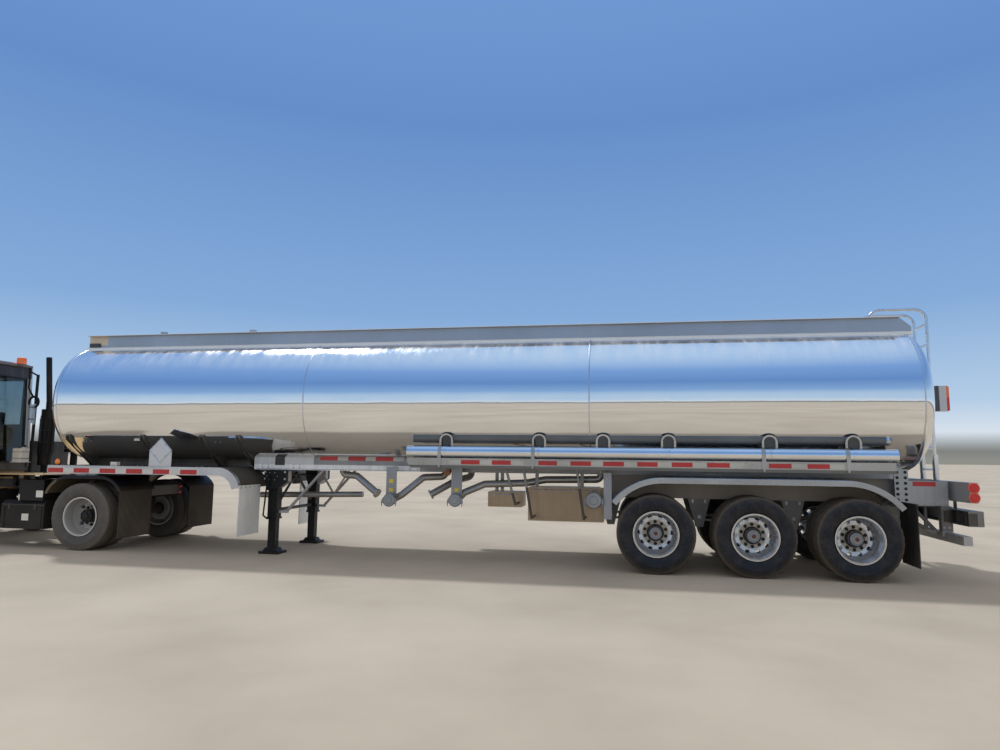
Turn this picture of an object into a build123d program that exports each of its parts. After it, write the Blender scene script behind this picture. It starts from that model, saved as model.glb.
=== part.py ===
from build123d import *
import math
import os

# Sizes are in millimetres. While it is modelled, the vehicle has its kingpin on x = 0, faces -X,
# and stands on z = 0. Its left side is at -Y. Pieces are moved to the middle of the length when kept.

# Whole vehicle
body_width = 2540
front_reach = 4050
seat_gap = 0.5
swing_gap = 6

# Tank
tank_width = 2440
tank_height = 2000
tank_bottom = 1327
crown_radius = 1970
corner_radius = 912
tank_front = -418
sheet_length = 4203
sheet_count = 3
front_dish = 415
rear_dish = 337
tail_overhang = 321

# Overturn rails and what stands on the tank
rail_spread = 600
rail_rise = 133
rail_thickness = 12
rail_lip = 60
rail_slope = 150
rail_reach_front = 32
rail_reach_rear = 118
rail_foot = 45
rail_foot_drop = 22
rail_foot_height = 34
dam_height = 60
dam_inset = 60
manhole_radius = 255
manhole_rise = 90
lid_radius = 205
lid_thickness = 26
lid_hinge_reach = 40
lid_hinge_rise = 22
vent_radius = 60
vent_rise = 290

# Rear ladder, which stands on two posts
ladder_overhang = 130
ladder_half_width = 210
ladder_rise = 313
ladder_foot_inset = 290
ladder_bar = 20
ladder_bend = 160
ladder_post_radius = 38
ladder_post_top = 1600
rung_spacing = 290
rung_radius = 14
high_lamp = (2200, 2530)

# Trailer frame
frame_half_width = 700
frame_bottom = 1270
frame_front = 2760
frame_wall = 12
frame_flange = 90
coupler_height = 1200
coupler_plate = 14
coupler_half_width = 610
coupler_rear = 1350
web_spread = 400
frame_bite = 233
outrigger_x = (-330, 1000, 2030, 2640)
outrigger_reach = (410, 1080)
outrigger_rise = (1214, 1800)
outrigger_depth = 110
outrigger_width = 80
kingpin_radius = 25.4
kingpin_collar_radius = 36.5
kingpin_length = 84
kingpin_neck = 34

# Fenders and flaps
deck_top = 1300
deck_lip = 120
deck_thickness = 8
deck_front = -430
deck_rear = 2500
deck_roll = 360
fender_top = 1250
fender_lip = 70
fender_thickness = 6
fender_roll = 840
fender_roll_angle = 52
flap_thickness = 10
flap_width = 600

# Landing legs
leg_x = 3120
leg_spread = 670
leg_size = 150
inner_leg_size = 120
foot_length = 330
foot_width = 260
leg_sleeve_bottom = 520
foot_thickness = 40
brace_foot_z = 650
shaft_z = 1170

# Hose tubes and side rails
tube_start = 5400
tube_radius = 92
tube_y = 1125
tube_z = 1564
upper_tube_radius = 71
upper_tube_y = 1030
upper_tube_z = 1771
side_rail_y = 1205
side_rail_bottom = 1340
side_rail_top = 1480
side_rail_wall = 8
side_rail_start = 5410
side_rail_shelf = 1400
side_rail_flange = 150
tube_collar_width = 30
strap_x = (5860, 7190, 10210, 11230)
strap_width = 50
strap_wall = 6
clamp_x = (5960, 7290, 8170, 9040, 10330, 11350)
clamp_radius = 70
tube_end_inset = 340

# Outlets: distance behind the kingpin, height of the adapter's middle, cap radius
outlets = [(5070, 860, 90), (6060, 880, 90), (8030, 920, 110)]
outlet_y = 890
outlet_pipe_radius = 52
pipe_bend = 80
# Pipe runs, each from the tank's underside down to its outlet
pipe_runs = [
    [(4150, -500, 1430), (4150, -500, 1205), (4400, -540, 1190), (4780, -640, 930)],
    [(5800, -500, 1430), (5800, -500, 1200), (5480, -600, 1185), (5200, -760, 930), (5070, -770, 860), (5070, -890, 860)],
    [(6150, -300, 1430), (6150, -300, 1200), (5970, -480, 1150), (5600, -640, 930)],
    [
        (8120, -530, 1430),
        (8120, -530, 1195),
        (7320, -540, 1180),
        (7040, -620, 1130),
        (6440, -700, 1105),
        (6150, -770, 980),
        (6060, -780, 880),
        (6060, -890, 880),
    ],
]
# A straight line low between the legs, from its front end to its rear end
long_line = ((2620, -200, 850), (4370, -200, 890))
long_line_radius = 45
pipe_hanger_x = (3620, 4140)

# Cabinets: front, rear, bottom, top, inner y, outer y
cabinet_table = [(7080, 8160, 600, 1080, 250, 700), (6480, 6990, 780, 1000, 300, 650)]
# Stays in front of the cabinets: top x, foot x, foot z
stays = [(6820, 6950, 850), (7070, 7180, 670), (7810, 7900, 670)]
stay_radius = 18
cabinet_panel = 8
# Plate before the rear wheels: front, rear, bottom, top
guard_plate = (8165, 8275, 660, 1300)
guard_y = 880

# Blank diamond placards
placard_x = 1500
placard_z = 1545
placard_side = 273

# Running gear
tyre_radius = 515
tyre_width = 280
bead_radius = 286
rim_flange_radius = 298
twin_spacing = 336
axle_spacing = 1243
last_axle_inset = 852
spindle_radius = 38
beam_radius = 64
drum_radius = 205
hub_radius = 108
hand_hole_circle = 209
spring_spread = 500
spring_width = 80
spring_thickness = 60
spring_seat_height = 90
spring_rise = 50
hanger_setback = 600
hanger_foot = 150
chamber_radius = 82
chamber_y = 330

# Tail: lamp beam, bumpers and side plates, as bottom and top where two sizes are given
cross_x = 12625
cross_half = 1200
cross_beam = (1000, 1250)
bumper_half = 1250
upper_bumper = (720, 905)
lower_bumper = (490, 600)
tail_plate = (930, 1250)
tail_length = 540
round_lamp_radius = 50

# Tractor
rear_axle_x = 150
wheelbase = 2950
chassis_half_width = 430
chassis_bottom = 760
chassis_height = 240
chassis_flange = 85
chassis_wall = 12
chassis_rear = 720
cross_member_x = (-2000, -900, 640)
bumper_depth = 190
bumper_reach = 1200
bumper_rise = (560, 1000)
cab_left = 1100
cab_right = 60
cab_length = 1350
cab_lean = 100
cab_sill = 1045
cab_floor = 1180
cab_roof = 3070
cab_wall = 45
cab_round = 90
roof_drop = 1
screen_rake = 380
screen_sill = 1950
beacon_radius = 74
beacon_y = -330
hood_top = 1700
hood_bottom = 1085
hood_half = 1100
hood_length = 700
hood_setback = 100
hood_overlap = 250
grille_half = 430
grille_z = (1140, 1420)
grille_slats = 6
head_lamp_y = 760
head_lamp_z = 1280
head_lamp_radius = 84
tractor_deck = 1140
deck_plate_inset = 100
drive_fender_y = 1220
stack_gap = 10
stack_y = 300
stack_top = 3250
rack_gap = 240
rack_y = -250
cleaner_y = 700
canister_rise = (2000, 2330)
line_radius = 15

# Cab openings, as low and high values
rear_window_y = (-880, -150)
rear_window_z = (1330, 2800)
screen_z = (2010, 2900)
right_window_inset = (400, 200)
right_window_z = (1980, 2780)
door_inset = (410, 150)
door_bottom = 1230
door_top = 2790
door_window_inset = (80, 90)
door_window_z = (1900, 2700)
door_hinge_z = [1450, 2550]
pane_inset = 20
pane_thickness = 6
seat_inset = 480
dash_top = 1900
wheel_ring_radius = 190

pin_spread = 830
pin_radius = 20
tow_pin_radius = 16.5
tow_pin_inset = 55
tow_ear_half_width = 90
tow_ears = (700, 860)
tow_gap = (740, 820)

# Worked out from the sizes above
tank_rear = tank_front + sheet_count * sheet_length
rear_reach = tank_rear + rear_dish + tail_overhang
origin_x = (rear_reach - front_reach) / 2
half_width = body_width / 2
chassis_front = front_reach - bumper_depth
cab_front = front_reach - hood_length
cab_rear = cab_front - cab_length
hood_rear = cab_rear + hood_overlap
deck_plate_front = cab_rear - deck_plate_inset
door_front = cab_front - door_inset[0]
door_rear = cab_rear + door_inset[1]
door_window_x = (-door_front + door_window_inset[0], -door_rear - door_window_inset[1])
right_window_x = (-cab_front + right_window_inset[0], -cab_rear - right_window_inset[1])
seat_x = -cab_rear - seat_inset
stack_x = -cab_rear - stack_gap
rack_x = -cab_rear + rack_gap
tank_middle = tank_bottom + tank_height / 2
tank_top = tank_bottom + tank_height
rail_top = tank_top + rail_rise
ladder_top = tank_top + ladder_rise
last_axle_x = tank_rear - last_axle_inset
axle_x = [last_axle_x - step * axle_spacing for step in (2, 1, 0)]
outer_tyre_y = half_width - tyre_width / 2
front_axle_x = rear_axle_x - wheelbase
rim_half_width = tyre_width / 2 - 22
disc_offset = twin_spacing / 2
hub_bore_end = disc_offset - 60
drive_tyre_y = outer_tyre_y - 50
steer_tyre_y = pin_spread + 190
frame_rear = tank_rear - 140
beam_rear = frame_rear + 420
tail_rear = frame_rear + tail_length
ladder_x = tank_rear + rear_dish + ladder_overhang
ladder_front = tank_rear - ladder_foot_inset
cross_top = cross_beam[1]
tube_rear = tank_rear - tube_end_inset
door_hinge_x = -door_front + swing_gap / 2
door_hinge_y = -cab_left - 14
bogie_front = axle_x[0] - 640
bogie_rear = axle_x[2] + 660
bogie_spread = 500
bogie_beam = 80
bogie_bottom = 950


def keep(name, *pieces):
    """Writes one node, moved so that x = 0 is the middle of the vehicle's length."""
    solids = [solid for piece in pieces for solid in piece.solids()]
    moved = [Pos(-origin_x, 0, 0) * solid for solid in solids]
    export_step(moved[0] if len(moved) == 1 else Compound(moved), f"parts/{name}.step")


def block(x, y, z):
    """A box between two values on each axis."""
    size = [abs(high - low) for low, high in (x, y, z)]
    middle = [(low + high) / 2 for low, high in (x, y, z)]
    return Pos(*middle) * Box(*size)


def rod(start, end, radius):
    """A straight round bar between two points."""
    run = Vector(*end) - Vector(*start)
    return Solid.make_cylinder(radius, run.length, Plane(origin=start, z_dir=run))


def bent_bar(points, radius, bend):
    """A round bar along straight runs joined by bends."""
    path = FilletPolyline(*points, radius=bend)
    return sweep(Plane(origin=path @ 0, z_dir=path % 0) * Circle(radius), path=path)


def side_sheet(outline, inner_y, outer_y):
    """Extrudes an outline drawn in x and z, on the left side, from inner_y out to outer_y."""
    return extrude(Plane.XZ.offset(inner_y) * outline, amount=outer_y - inner_y)


def cross_sheet(points, x, thickness):
    """Extrudes a polygon drawn in y and z rearward from x."""
    return extrude(Plane.YZ.offset(x) * make_face(Polyline(*points, close=True)), amount=thickness)


def both_sides(piece):
    """A piece and its mirror image on the other side of the vehicle."""
    return [piece, mirror(piece, about=Plane.XZ)]


def tank_face(x, share=1.0):
    """The tank's section: two crowns, four corners and two short straight sides."""
    side, top = tank_width / 2 * share, tank_height / 2 * share
    crown, corner = crown_radius * share, corner_radius * share
    centre_y = side - corner
    centre_z = math.sqrt((crown - corner) ** 2 - centre_y**2) - (crown - top)
    reach = crown / (crown - corner)
    join_y = centre_y * reach
    join_z = top - crown + (centre_z + crown - top) * reach
    turn = math.atan2(join_z - centre_z, join_y - centre_y) / 2
    bend_y = centre_y + corner * math.cos(turn)
    bend_z = centre_z + corner * math.sin(turn)
    edges = []
    for flip in (1, -1):
        crown_ends = [(-flip * join_y, flip * join_z), (flip * join_y, flip * join_z)]
        edges.append(ThreePointArc(crown_ends[0], (0, flip * top), crown_ends[1]))
        edges.append(Line((flip * side, centre_z), (flip * side, -centre_z)))
        for lift in (1, -1):
            ends = [(flip * join_y, lift * join_z), (flip * side, lift * centre_z)]
            edges.append(ThreePointArc(ends[0], (flip * bend_y, lift * bend_z), ends[1]))
    return Plane((x, 0, tank_middle), x_dir=(0, 1, 0), z_dir=(1, 0, 0)) * make_face(edges)


def tank_barrel():
    """The straight part of the tank."""
    return extrude(tank_face(tank_front), amount=tank_rear - tank_front)


def tank_head(x, depth, direction):
    """A dished end, lofted through sections on an ellipse."""
    faces = []
    for angle in (0, 22, 44, 62, 76, 85):
        turn = math.radians(angle)
        faces.append(tank_face(x + direction * depth * math.sin(turn), math.cos(turn)))
    return loft(faces)


def tank_shell():
    barrel = tank_barrel()
    front = tank_head(tank_front, front_dish, -1)
    rear = tank_head(tank_rear, rear_dish, 1)
    return barrel + front + rear


barrel_cut = tank_barrel()
shell_cut = tank_shell()


def tank_z(y):
    """Height of the tank's crown at a distance y from the middle."""
    return tank_top - crown_radius + math.sqrt(crown_radius**2 - y**2)


def overturn_rails():
    """Two upright rails along the tank's top with a foot and a lip, sloped behind, and a dam at each end."""
    front, rear = tank_front - rail_reach_front, tank_rear + rail_reach_rear
    foot_z = tank_z(rail_spread) - rail_foot_drop
    outline = make_face(
        Polyline(
            (front, foot_z),
            (front, rail_top),
            (rear - rail_slope, rail_top),
            (rear, tank_top),
            (rear, foot_z),
            close=True,
        )
    )
    rail = side_sheet(outline, rail_spread - rail_thickness, rail_spread)
    rail += block(
        (front, rear - rail_slope),
        (-rail_spread - rail_lip, -rail_spread),
        (rail_top - rail_thickness, rail_top),
    )
    rail += block((front, rear), (-rail_spread - rail_foot, -rail_spread), (foot_z, foot_z + rail_foot_height))
    dams = [
        block(
            (x, x + rail_thickness),
            (-rail_spread + rail_thickness, rail_spread - rail_thickness),
            (foot_z, tank_top + dam_height),
        )
        for x in (tank_front + dam_inset, tank_rear - dam_inset - rail_thickness)
    ]
    rails = both_sides(rail)
    return (rails[0] + rails[1] + dams[0] + dams[1]) - shell_cut


# Manholes: name, distance behind the kingpin
manholes = [("front", 1350), ("middle", 5950), ("rear", 10200)]
# Tall vents: distance behind the kingpin
vents = [500, 2200]


def manhole_base(x):
    """A round neck that stands on the crown, with a hinge lug on its front."""
    neck = Pos(x, 0, tank_top - 40) * Cylinder(
        manhole_radius, manhole_rise + 40, align=(Align.CENTER, Align.CENTER, Align.MIN)
    )
    foot = tank_top + manhole_rise
    hinge_x, hinge_z = x - lid_radius - lid_hinge_reach, foot + lid_hinge_rise
    lug = [
        block((hinge_x - 18, hinge_x + 20), (side * 70 - 12, side * 70 + 12), (foot, hinge_z + 18))
        + rod((hinge_x, side * 58, hinge_z), (hinge_x, side * 90, hinge_z), 13)
        for side in (1, -1)
    ]
    return (neck + lug[0] + lug[1]) - barrel_cut


def manhole_lid(x):
    """A dished lid with a barrel that turns between the base's two lugs."""
    base_z = tank_top + manhole_rise + seat_gap
    top = base_z + lid_thickness
    dome = [(0, base_z), (lid_radius, base_z), (lid_radius, top - 8), (lid_radius * 0.6, top), (0, top)]
    plate = Pos(x, 0, 0) * revolve(Plane.XZ * make_face(Polyline(*dome, close=True)), axis=Axis.Z)
    hinge_x, hinge_z = x - lid_radius - lid_hinge_reach, tank_top + manhole_rise + lid_hinge_rise
    arm = block((hinge_x, x - lid_radius + 40), (-50, 50), (base_z + 8, top))
    arm += rod((hinge_x, -58 + seat_gap, hinge_z), (hinge_x, 58 - seat_gap, hinge_z), 13)
    handle = block((x + 60, x + 150), (-20, 20), (top - 4, top + 30))
    return plate + arm + handle


def vent(x):
    """A pressure vent with a wider cap."""
    stem = Pos(x, 0, tank_top - 20) * Cylinder(
        vent_radius * 0.7, vent_rise + 20, align=(Align.CENTER, Align.CENTER, Align.MIN)
    )
    cap = Pos(x, 0, tank_top + vent_rise - 90) * Cylinder(
        vent_radius, 90, align=(Align.CENTER, Align.CENTER, Align.MIN)
    )
    return (stem + cap) - barrel_cut


def rear_ladder():
    """Two bars that loop over the tank's rear end and run down to posts on the bumper, with rungs."""
    pieces = []
    for side in (1, -1):
        y = side * ladder_half_width
        points = [
            (ladder_front, y, tank_z(ladder_half_width) - 10),
            (ladder_front, y, ladder_top),
            (ladder_x, y, ladder_top),
            (ladder_x, y, ladder_post_top - 40),
        ]
        pieces.append(bent_bar(points, ladder_bar, ladder_bend))
        pieces.append(rod((ladder_x, y, cross_top), (ladder_x, y, ladder_post_top), ladder_post_radius))
    steps = int((tank_top - cross_top) / rung_spacing) + 1
    for step in range(steps):
        z = cross_top + rung_spacing * (step + 0.5)
        pieces.append(rod((ladder_x, -ladder_half_width, z), (ladder_x, ladder_half_width, z), rung_radius))
    brace_z = tank_middle + 450
    for side in (1, -1):
        y = side * ladder_half_width
        pieces.append(rod((tank_rear + rear_dish - 120, y, brace_z), (ladder_x, y, brace_z), rung_radius))
    ladder = pieces[0]
    for piece in pieces[1:]:
        ladder += piece
    return ladder - shell_cut


def frame_rails():
    """Two L-shaped rails under the tank, and the box beams that carry the suspension."""
    web = block(
        (frame_front, frame_rear),
        (-frame_half_width, -frame_half_width + frame_wall),
        (frame_bottom, tank_bottom + frame_bite),
    )
    flange = block(
        (frame_front, frame_rear),
        (-frame_half_width, -frame_half_width + frame_flange),
        (frame_bottom, frame_bottom + frame_wall),
    )
    rail = (web + flange) - barrel_cut
    beam = block(
        (bogie_front, beam_rear),
        (-bogie_spread - bogie_beam / 2, -bogie_spread + bogie_beam / 2),
        (bogie_bottom, frame_bottom),
    )
    pieces = both_sides(rail) + both_sides(beam)
    inner = frame_half_width - frame_wall
    # Cross members: front face, half length, bottom
    sill = frame_bottom + frame_wall
    crossings = [(x, inner, sill) for x in (frame_front, pipe_hanger_x[0] - 40, pipe_hanger_x[1] - 40, 5300)]
    for x in (bogie_front + 60, axle_x[0] + 620, axle_x[1] + 620, frame_rear - 120):
        crossings.append((x, inner, sill))
        crossings.append((x, bogie_spread, frame_bottom - 60))
    for x, reach, bottom in crossings:
        pieces.append(block((x, x + 80), (-reach, reach), (bottom, tank_bottom + 40)) - barrel_cut)
    # Side plates behind the last axle, each bolted to its rail through an upright plate
    plate = block((frame_rear - 60, tail_rear), (-frame_half_width, -frame_half_width + frame_wall), tail_plate)
    plate += block(
        (frame_rear - 100, frame_rear + 70),
        (-frame_half_width - frame_wall, -frame_half_width),
        (tail_plate[0] + 30, frame_bottom + 130),
    )
    plate += block(
        (beam_rear - 60, beam_rear), (-frame_half_width, -bogie_spread), (bogie_bottom, frame_bottom - 40)
    )
    pieces += both_sides(plate)
    whole = pieces[0]
    for piece in pieces[1:]:
        whole += piece
    for points in pipe_runs:
        whole -= rod(points[0], points[1], outlet_pipe_radius + seat_gap)
    return whole


def coupler():
    """Upper coupler: plate with kingpin, two webs up to the tank, and sloping outriggers."""
    plate = block(
        (deck_front, coupler_rear),
        (-coupler_half_width, coupler_half_width),
        (coupler_height, coupler_height + coupler_plate),
    )
    pin = rod((0, 0, coupler_height), (0, 0, coupler_height - kingpin_length), kingpin_collar_radius)
    neck = Pos(0, 0, coupler_height - kingpin_length / 2) * (
        Cylinder(kingpin_collar_radius, kingpin_neck) - Cylinder(kingpin_radius, kingpin_neck)
    )
    whole = plate + (pin - neck)
    base = coupler_height + coupler_plate
    web = block((deck_front, frame_front), (-web_spread - 10, -web_spread), (base, base + 390))
    for piece in both_sides(web):
        whole += piece
    inner, outer = outrigger_reach
    low, high = outrigger_rise
    for x in outrigger_x:
        strut = cross_sheet(
            [
                (inner, low),
                (inner, low + outrigger_depth),
                (outer - 40, high),
                (outer, high - 20),
                (outer, high - outrigger_depth + 20),
            ],
            x,
            outrigger_width,
        )
        strut -= cross_sheet(
            [
                (inner + 30, low - 60),
                (inner + 30, low + outrigger_depth - 22),
                (outer - 30, high - 40),
                (outer + 60, high - 40),
                (outer + 60, low - 60),
            ],
            x + 10,
            outrigger_width - 20,
        )
        strut -= block((x - 1, x + outrigger_width + 1), (0, half_width), (0, deck_top))
        for piece in both_sides(strut):
            whole += piece
    front = block((deck_front, deck_front + 10), (-web_spread, web_spread), (base, base + 186))
    return (whole + front) - shell_cut


def fender_band(front, rear, top, roll, front_angle, rear_angle, thickness):
    """Side view of a fender's sheet: flat on top and rolled down at one end or both."""

    def roll_point(x, direction, radius, angle):
        turn = math.radians(angle)
        return (x + direction * radius * math.sin(turn), top - roll + radius * math.cos(turn))

    inner = roll - thickness
    edges = [
        Line((front, top), (rear, top)),
        Line((front, top - thickness), (rear, top - thickness)),
    ]
    for x, direction, angle in ((front, -1, front_angle), (rear, 1, rear_angle)):
        if angle:
            for radius in (roll, inner):
                points = [roll_point(x, direction, radius, share * angle) for share in (0, 0.5, 1)]
                edges.append(ThreePointArc(*points))
        tips = [roll_point(x, direction, radius, angle) for radius in (roll, inner)]
        edges.append(Line(*tips))
    return make_face(edges)


def front_fenders():
    """Flat decks beside the coupler, with a deep outer lip, rolled down behind."""
    sheet = fender_band(deck_front, deck_rear, deck_top, deck_roll, 0, 80, deck_thickness)
    lip = fender_band(deck_front, deck_rear, deck_top, deck_roll, 0, 80, deck_lip)
    deck = side_sheet(sheet, web_spread + 10, half_width)
    deck += side_sheet(lip, half_width - 5, half_width)
    return both_sides(deck)


def rear_fenders():
    """One long fender a side over the three axles, rolled down at both ends, with an inner plate."""
    shape = (axle_x[0] + 97, axle_x[2] - 120, fender_top, fender_roll, fender_roll_angle, fender_roll_angle)
    fender = side_sheet(fender_band(*shape, fender_thickness), bogie_spread + bogie_beam / 2, half_width)
    fender += side_sheet(fender_band(*shape, fender_lip), half_width - 5, half_width)
    return both_sides(fender)


deck_roll_angle = 80
flap_x = deck_rear + deck_roll * math.sin(math.radians(deck_roll_angle))
rear_flap_x = axle_x[2] + 655
flap_bar_z = bogie_bottom + 15


def mudflaps():
    """Hanging flaps behind the front fenders and behind the last axle."""
    front = block((flap_x, flap_x + flap_thickness), (-half_width, -half_width + flap_width), (300, 1040))
    inner = -frame_half_width - frame_wall - seat_gap
    rear = block((rear_flap_x, rear_flap_x + flap_thickness), (-half_width, inner), (200, flap_bar_z))
    bar_x = rear_flap_x + flap_thickness / 2
    bar = rod((bar_x, inner, flap_bar_z), (bar_x, -half_width, flap_bar_z), 15)
    return both_sides(front) + both_sides(rear + bar)


def landing_legs():
    """Two telescopic legs with feet, gearboxes, a cross shaft, braces and a crank."""
    sleeve = block(
        (leg_x - leg_size / 2, leg_x + leg_size / 2),
        (-leg_spread - leg_size / 2, -leg_spread + leg_size / 2),
        (leg_sleeve_bottom, frame_bottom),
    )
    sleeve += block(
        (leg_x - leg_size / 2 - 10, leg_x + leg_size / 2 + 10),
        (-leg_spread - leg_size / 2 - 10, -leg_spread + leg_size / 2 + 10),
        (leg_sleeve_bottom, leg_sleeve_bottom + 30),
    )
    inner = block(
        (leg_x - inner_leg_size / 2, leg_x + inner_leg_size / 2),
        (-leg_spread - inner_leg_size / 2, -leg_spread + inner_leg_size / 2),
        (foot_thickness, leg_sleeve_bottom),
    )
    foot = block(
        (leg_x - foot_length / 2, leg_x + foot_length / 2),
        (-leg_spread - foot_width / 2, -leg_spread + foot_width / 2),
        (0, foot_thickness),
    )
    ankle = extrude(
        Plane((leg_x, -leg_spread, foot_thickness)) * Rectangle(foot_length * 0.7, foot_width * 0.7),
        amount=50,
        taper=25,
    )
    casing = make_face(
        Polyline(
            (leg_x - 135, frame_bottom - 10),
            (leg_x + 230, frame_bottom - 10),
            (leg_x + 230, frame_bottom - 180),
            (leg_x + 110, frame_bottom - 270),
            (leg_x - 75, frame_bottom - 320),
            (leg_x - 135, frame_bottom - 140),
            close=True,
        )
    )
    gearbox = side_sheet(fillet(casing.vertices(), 20), leg_spread - 55, leg_spread + leg_size / 2 + 45)
    lug = block(
        (leg_x + leg_size / 2 - 1, leg_x + 230), (-leg_spread - 20, -leg_spread + 20), (brace_foot_z - 40, brace_foot_z)
    )
    brace = rod((leg_x + 200, -leg_spread, brace_foot_z - 20), (leg_x + 800, -leg_spread, frame_bottom + 20), 22)
    brace -= block((leg_x, leg_x + 1000), (-leg_spread - 50, 0), (frame_bottom, frame_bottom + 80))
    slant = rod((leg_x, -leg_spread, brace_foot_z), (leg_x, 0, frame_bottom - 60), 20)
    leg = sleeve + inner + foot + ankle + gearbox + lug + brace + slant
    whole = leg + mirror(leg, about=Plane.XZ)
    whole += rod((leg_x, -leg_spread, brace_foot_z), (leg_x, leg_spread, brace_foot_z), 25)
    whole += rod((leg_x, -leg_spread, shaft_z), (leg_x, leg_spread, shaft_z), 20)
    crank_y = -leg_spread - leg_size / 2 - 45
    points = [
        (leg_x - 40, crank_y, shaft_z),
        (leg_x - 40, crank_y - 55, shaft_z),
        (leg_x - 90, crank_y - 55, shaft_z - 590),
        (leg_x - 40, crank_y - 20, shaft_z - 640),
        (leg_x - 10, crank_y + 20, shaft_z - 640),
    ]
    return whole + bent_bar(points, 12, 16)


def hose_tubes_lower():
    """Round hose carriers above the side rails, one a side, with a rolled collar on each end."""
    tube = rod((tube_start, -tube_y, tube_z), (tube_rear, -tube_y, tube_z), tube_radius)
    for x in (tube_start, tube_rear - tube_collar_width):
        tube += rod((x, -tube_y, tube_z), (x + tube_collar_width, -tube_y, tube_z), tube_radius + 4)
    return both_sides(tube - barrel_cut)


def hose_tubes_upper():
    """The thinner tubes higher up, with clamp rings."""
    tube = rod(
        (tube_start + 60, -upper_tube_y, upper_tube_z),
        (tube_rear - 100, -upper_tube_y, upper_tube_z),
        upper_tube_radius,
    )
    return both_sides(tube - barrel_cut)


def side_rails():
    """Outboard channels that carry the tape, with brackets in to the frame and straps over the tubes."""
    rear = tube_rear - 40
    outline = make_face(
        Polyline(
            (side_rail_start + 60, side_rail_bottom),
            (side_rail_start, side_rail_bottom + 80),
            (side_rail_start, side_rail_top),
            (rear, side_rail_top),
            (rear, side_rail_bottom),
            close=True,
        )
    )
    rail = side_sheet(outline, side_rail_y, side_rail_y + side_rail_wall)
    for z in (side_rail_bottom, side_rail_shelf):
        rail += block((side_rail_start + 60, rear), (-side_rail_y, -side_rail_y + side_rail_flange), (z, z + 8))
    for x in strap_x:
        rail += block(
            (x, x + strap_width),
            (-side_rail_y, -frame_half_width),
            (side_rail_bottom, side_rail_shelf),
        )
        rail += block((x, x + strap_width), (-tube_y - 30, -tube_y + 30), (side_rail_shelf, tube_z))
        inside = -tube_y + tube_radius + seat_gap
        rail += block((x, x + strap_width), (inside, inside + 20), (side_rail_shelf - 1, upper_tube_z))
        strap = rod((x, -tube_y, tube_z), (x + strap_width, -tube_y, tube_z), tube_radius + strap_wall)
        strap &= block((x, x + strap_width), (-half_width, -tube_y), (tube_z, tube_z + 200))
        outside = -tube_y - tube_radius - strap_wall
        strap += block((x, x + strap_width), (outside, -side_rail_y - side_rail_wall), (side_rail_bottom, tube_z))
        rail += strap
    for y, z, radius in ((tube_y, tube_z, tube_radius), (upper_tube_y, upper_tube_z, upper_tube_radius)):
        rail -= rod((tube_start, -y, z), (tube_rear, -y, z), radius + seat_gap)
    pieces = both_sides(rail - barrel_cut)
    # Round clamps that press the upper tube down on the lower one
    for x in clamp_x:
        middle_z = upper_tube_z - 40
        front_y = -upper_tube_y - upper_tube_radius
        clamp = rod((x, front_y + 40, middle_z), (x, front_y - 30, middle_z), clamp_radius)
        arch = rod((x, front_y - 12, middle_z), (x, front_y - 22, middle_z), clamp_radius + 25)
        clamp += arch
        for y, z, radius in ((tube_y, tube_z, tube_radius), (upper_tube_y, upper_tube_z, upper_tube_radius)):
            clamp -= rod((x - 200, -y, z), (x + 200, -y, z), radius + seat_gap)
        for strap in strap_x:
            clamp -= block((strap - 1, strap + strap_width + 1), (-half_width, 0), (0, tank_top))
        pieces += both_sides(clamp)
    return pieces


def outlet_pipes():
    """Pipes from the tank's underside to the outlets, and the long line between the legs."""
    pieces = []
    for points in pipe_runs:
        pipe = bent_bar(points, outlet_pipe_radius, pipe_bend)
        end = Vector(*points[-1])
        back = (end - Vector(*points[-2])).normalized() * 24
        if abs(points[-1][1]) < outlet_y:
            pipe += rod(tuple(end - back), tuple(end), outlet_pipe_radius + 20)
        pieces.append(pipe - barrel_cut)
    start, end = long_line
    line = rod(start, end, long_line_radius)
    for x in pipe_hanger_x:
        foot = (sum(pipe_hanger_x) / 2, start[1], start[2] + long_line_radius - 15)
        line += rod(foot, (x, start[1], frame_bottom + frame_wall), 16)
    line -= block((start[0], end[0] + 500), (-half_width, half_width), (frame_bottom + frame_wall, tank_top))
    return pieces + [line]


def outlet_adapters():
    """Round adapters with caps on the ends of the pipes, and the plates that hold them."""
    pieces = []
    for x, z, cap_radius in outlets:
        neck = outlet_pipe_radius + 12
        start = -outlet_y
        if x > cabinet_table[0][0] and x < cabinet_table[0][1]:
            start = -cabinet_table[0][5] - cabinet_panel - seat_gap
        profile = [
            (0, start),
            (neck, start),
            (neck, -outlet_y - 20),
            (neck + 14, -outlet_y - 20),
            (neck + 14, -outlet_y - 34),
            (neck, -outlet_y - 34),
            (neck, -outlet_y - 50),
            (cap_radius, -outlet_y - 50),
            (cap_radius, -outlet_y - 76),
            (cap_radius - 9, -outlet_y - 85),
            (0, -outlet_y - 85),
        ]
        body = Pos(x, 0, z) * turned(profile)
        for side in (1, -1):
            body += block(
                (x + side * cap_radius - 16, x + side * cap_radius + 16),
                (-outlet_y - 74, -outlet_y - 52),
                (z - 45, z + 25),
            )
        pieces.append(body)
        if start == -outlet_y:
            plate = block((x - 80, x + 80), (-outlet_y + 20, -outlet_y + 28), (z - 60, frame_bottom + 70))
            plate += block(
                (x - 30, x + 30), (-outlet_y + 28, -frame_half_width), (frame_bottom + 30, frame_bottom + 70)
            )
            plate -= rod((x, -outlet_y + 40, z), (x, -outlet_y, z), outlet_pipe_radius + seat_gap)
            pieces.append(plate)
    return pieces


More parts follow.
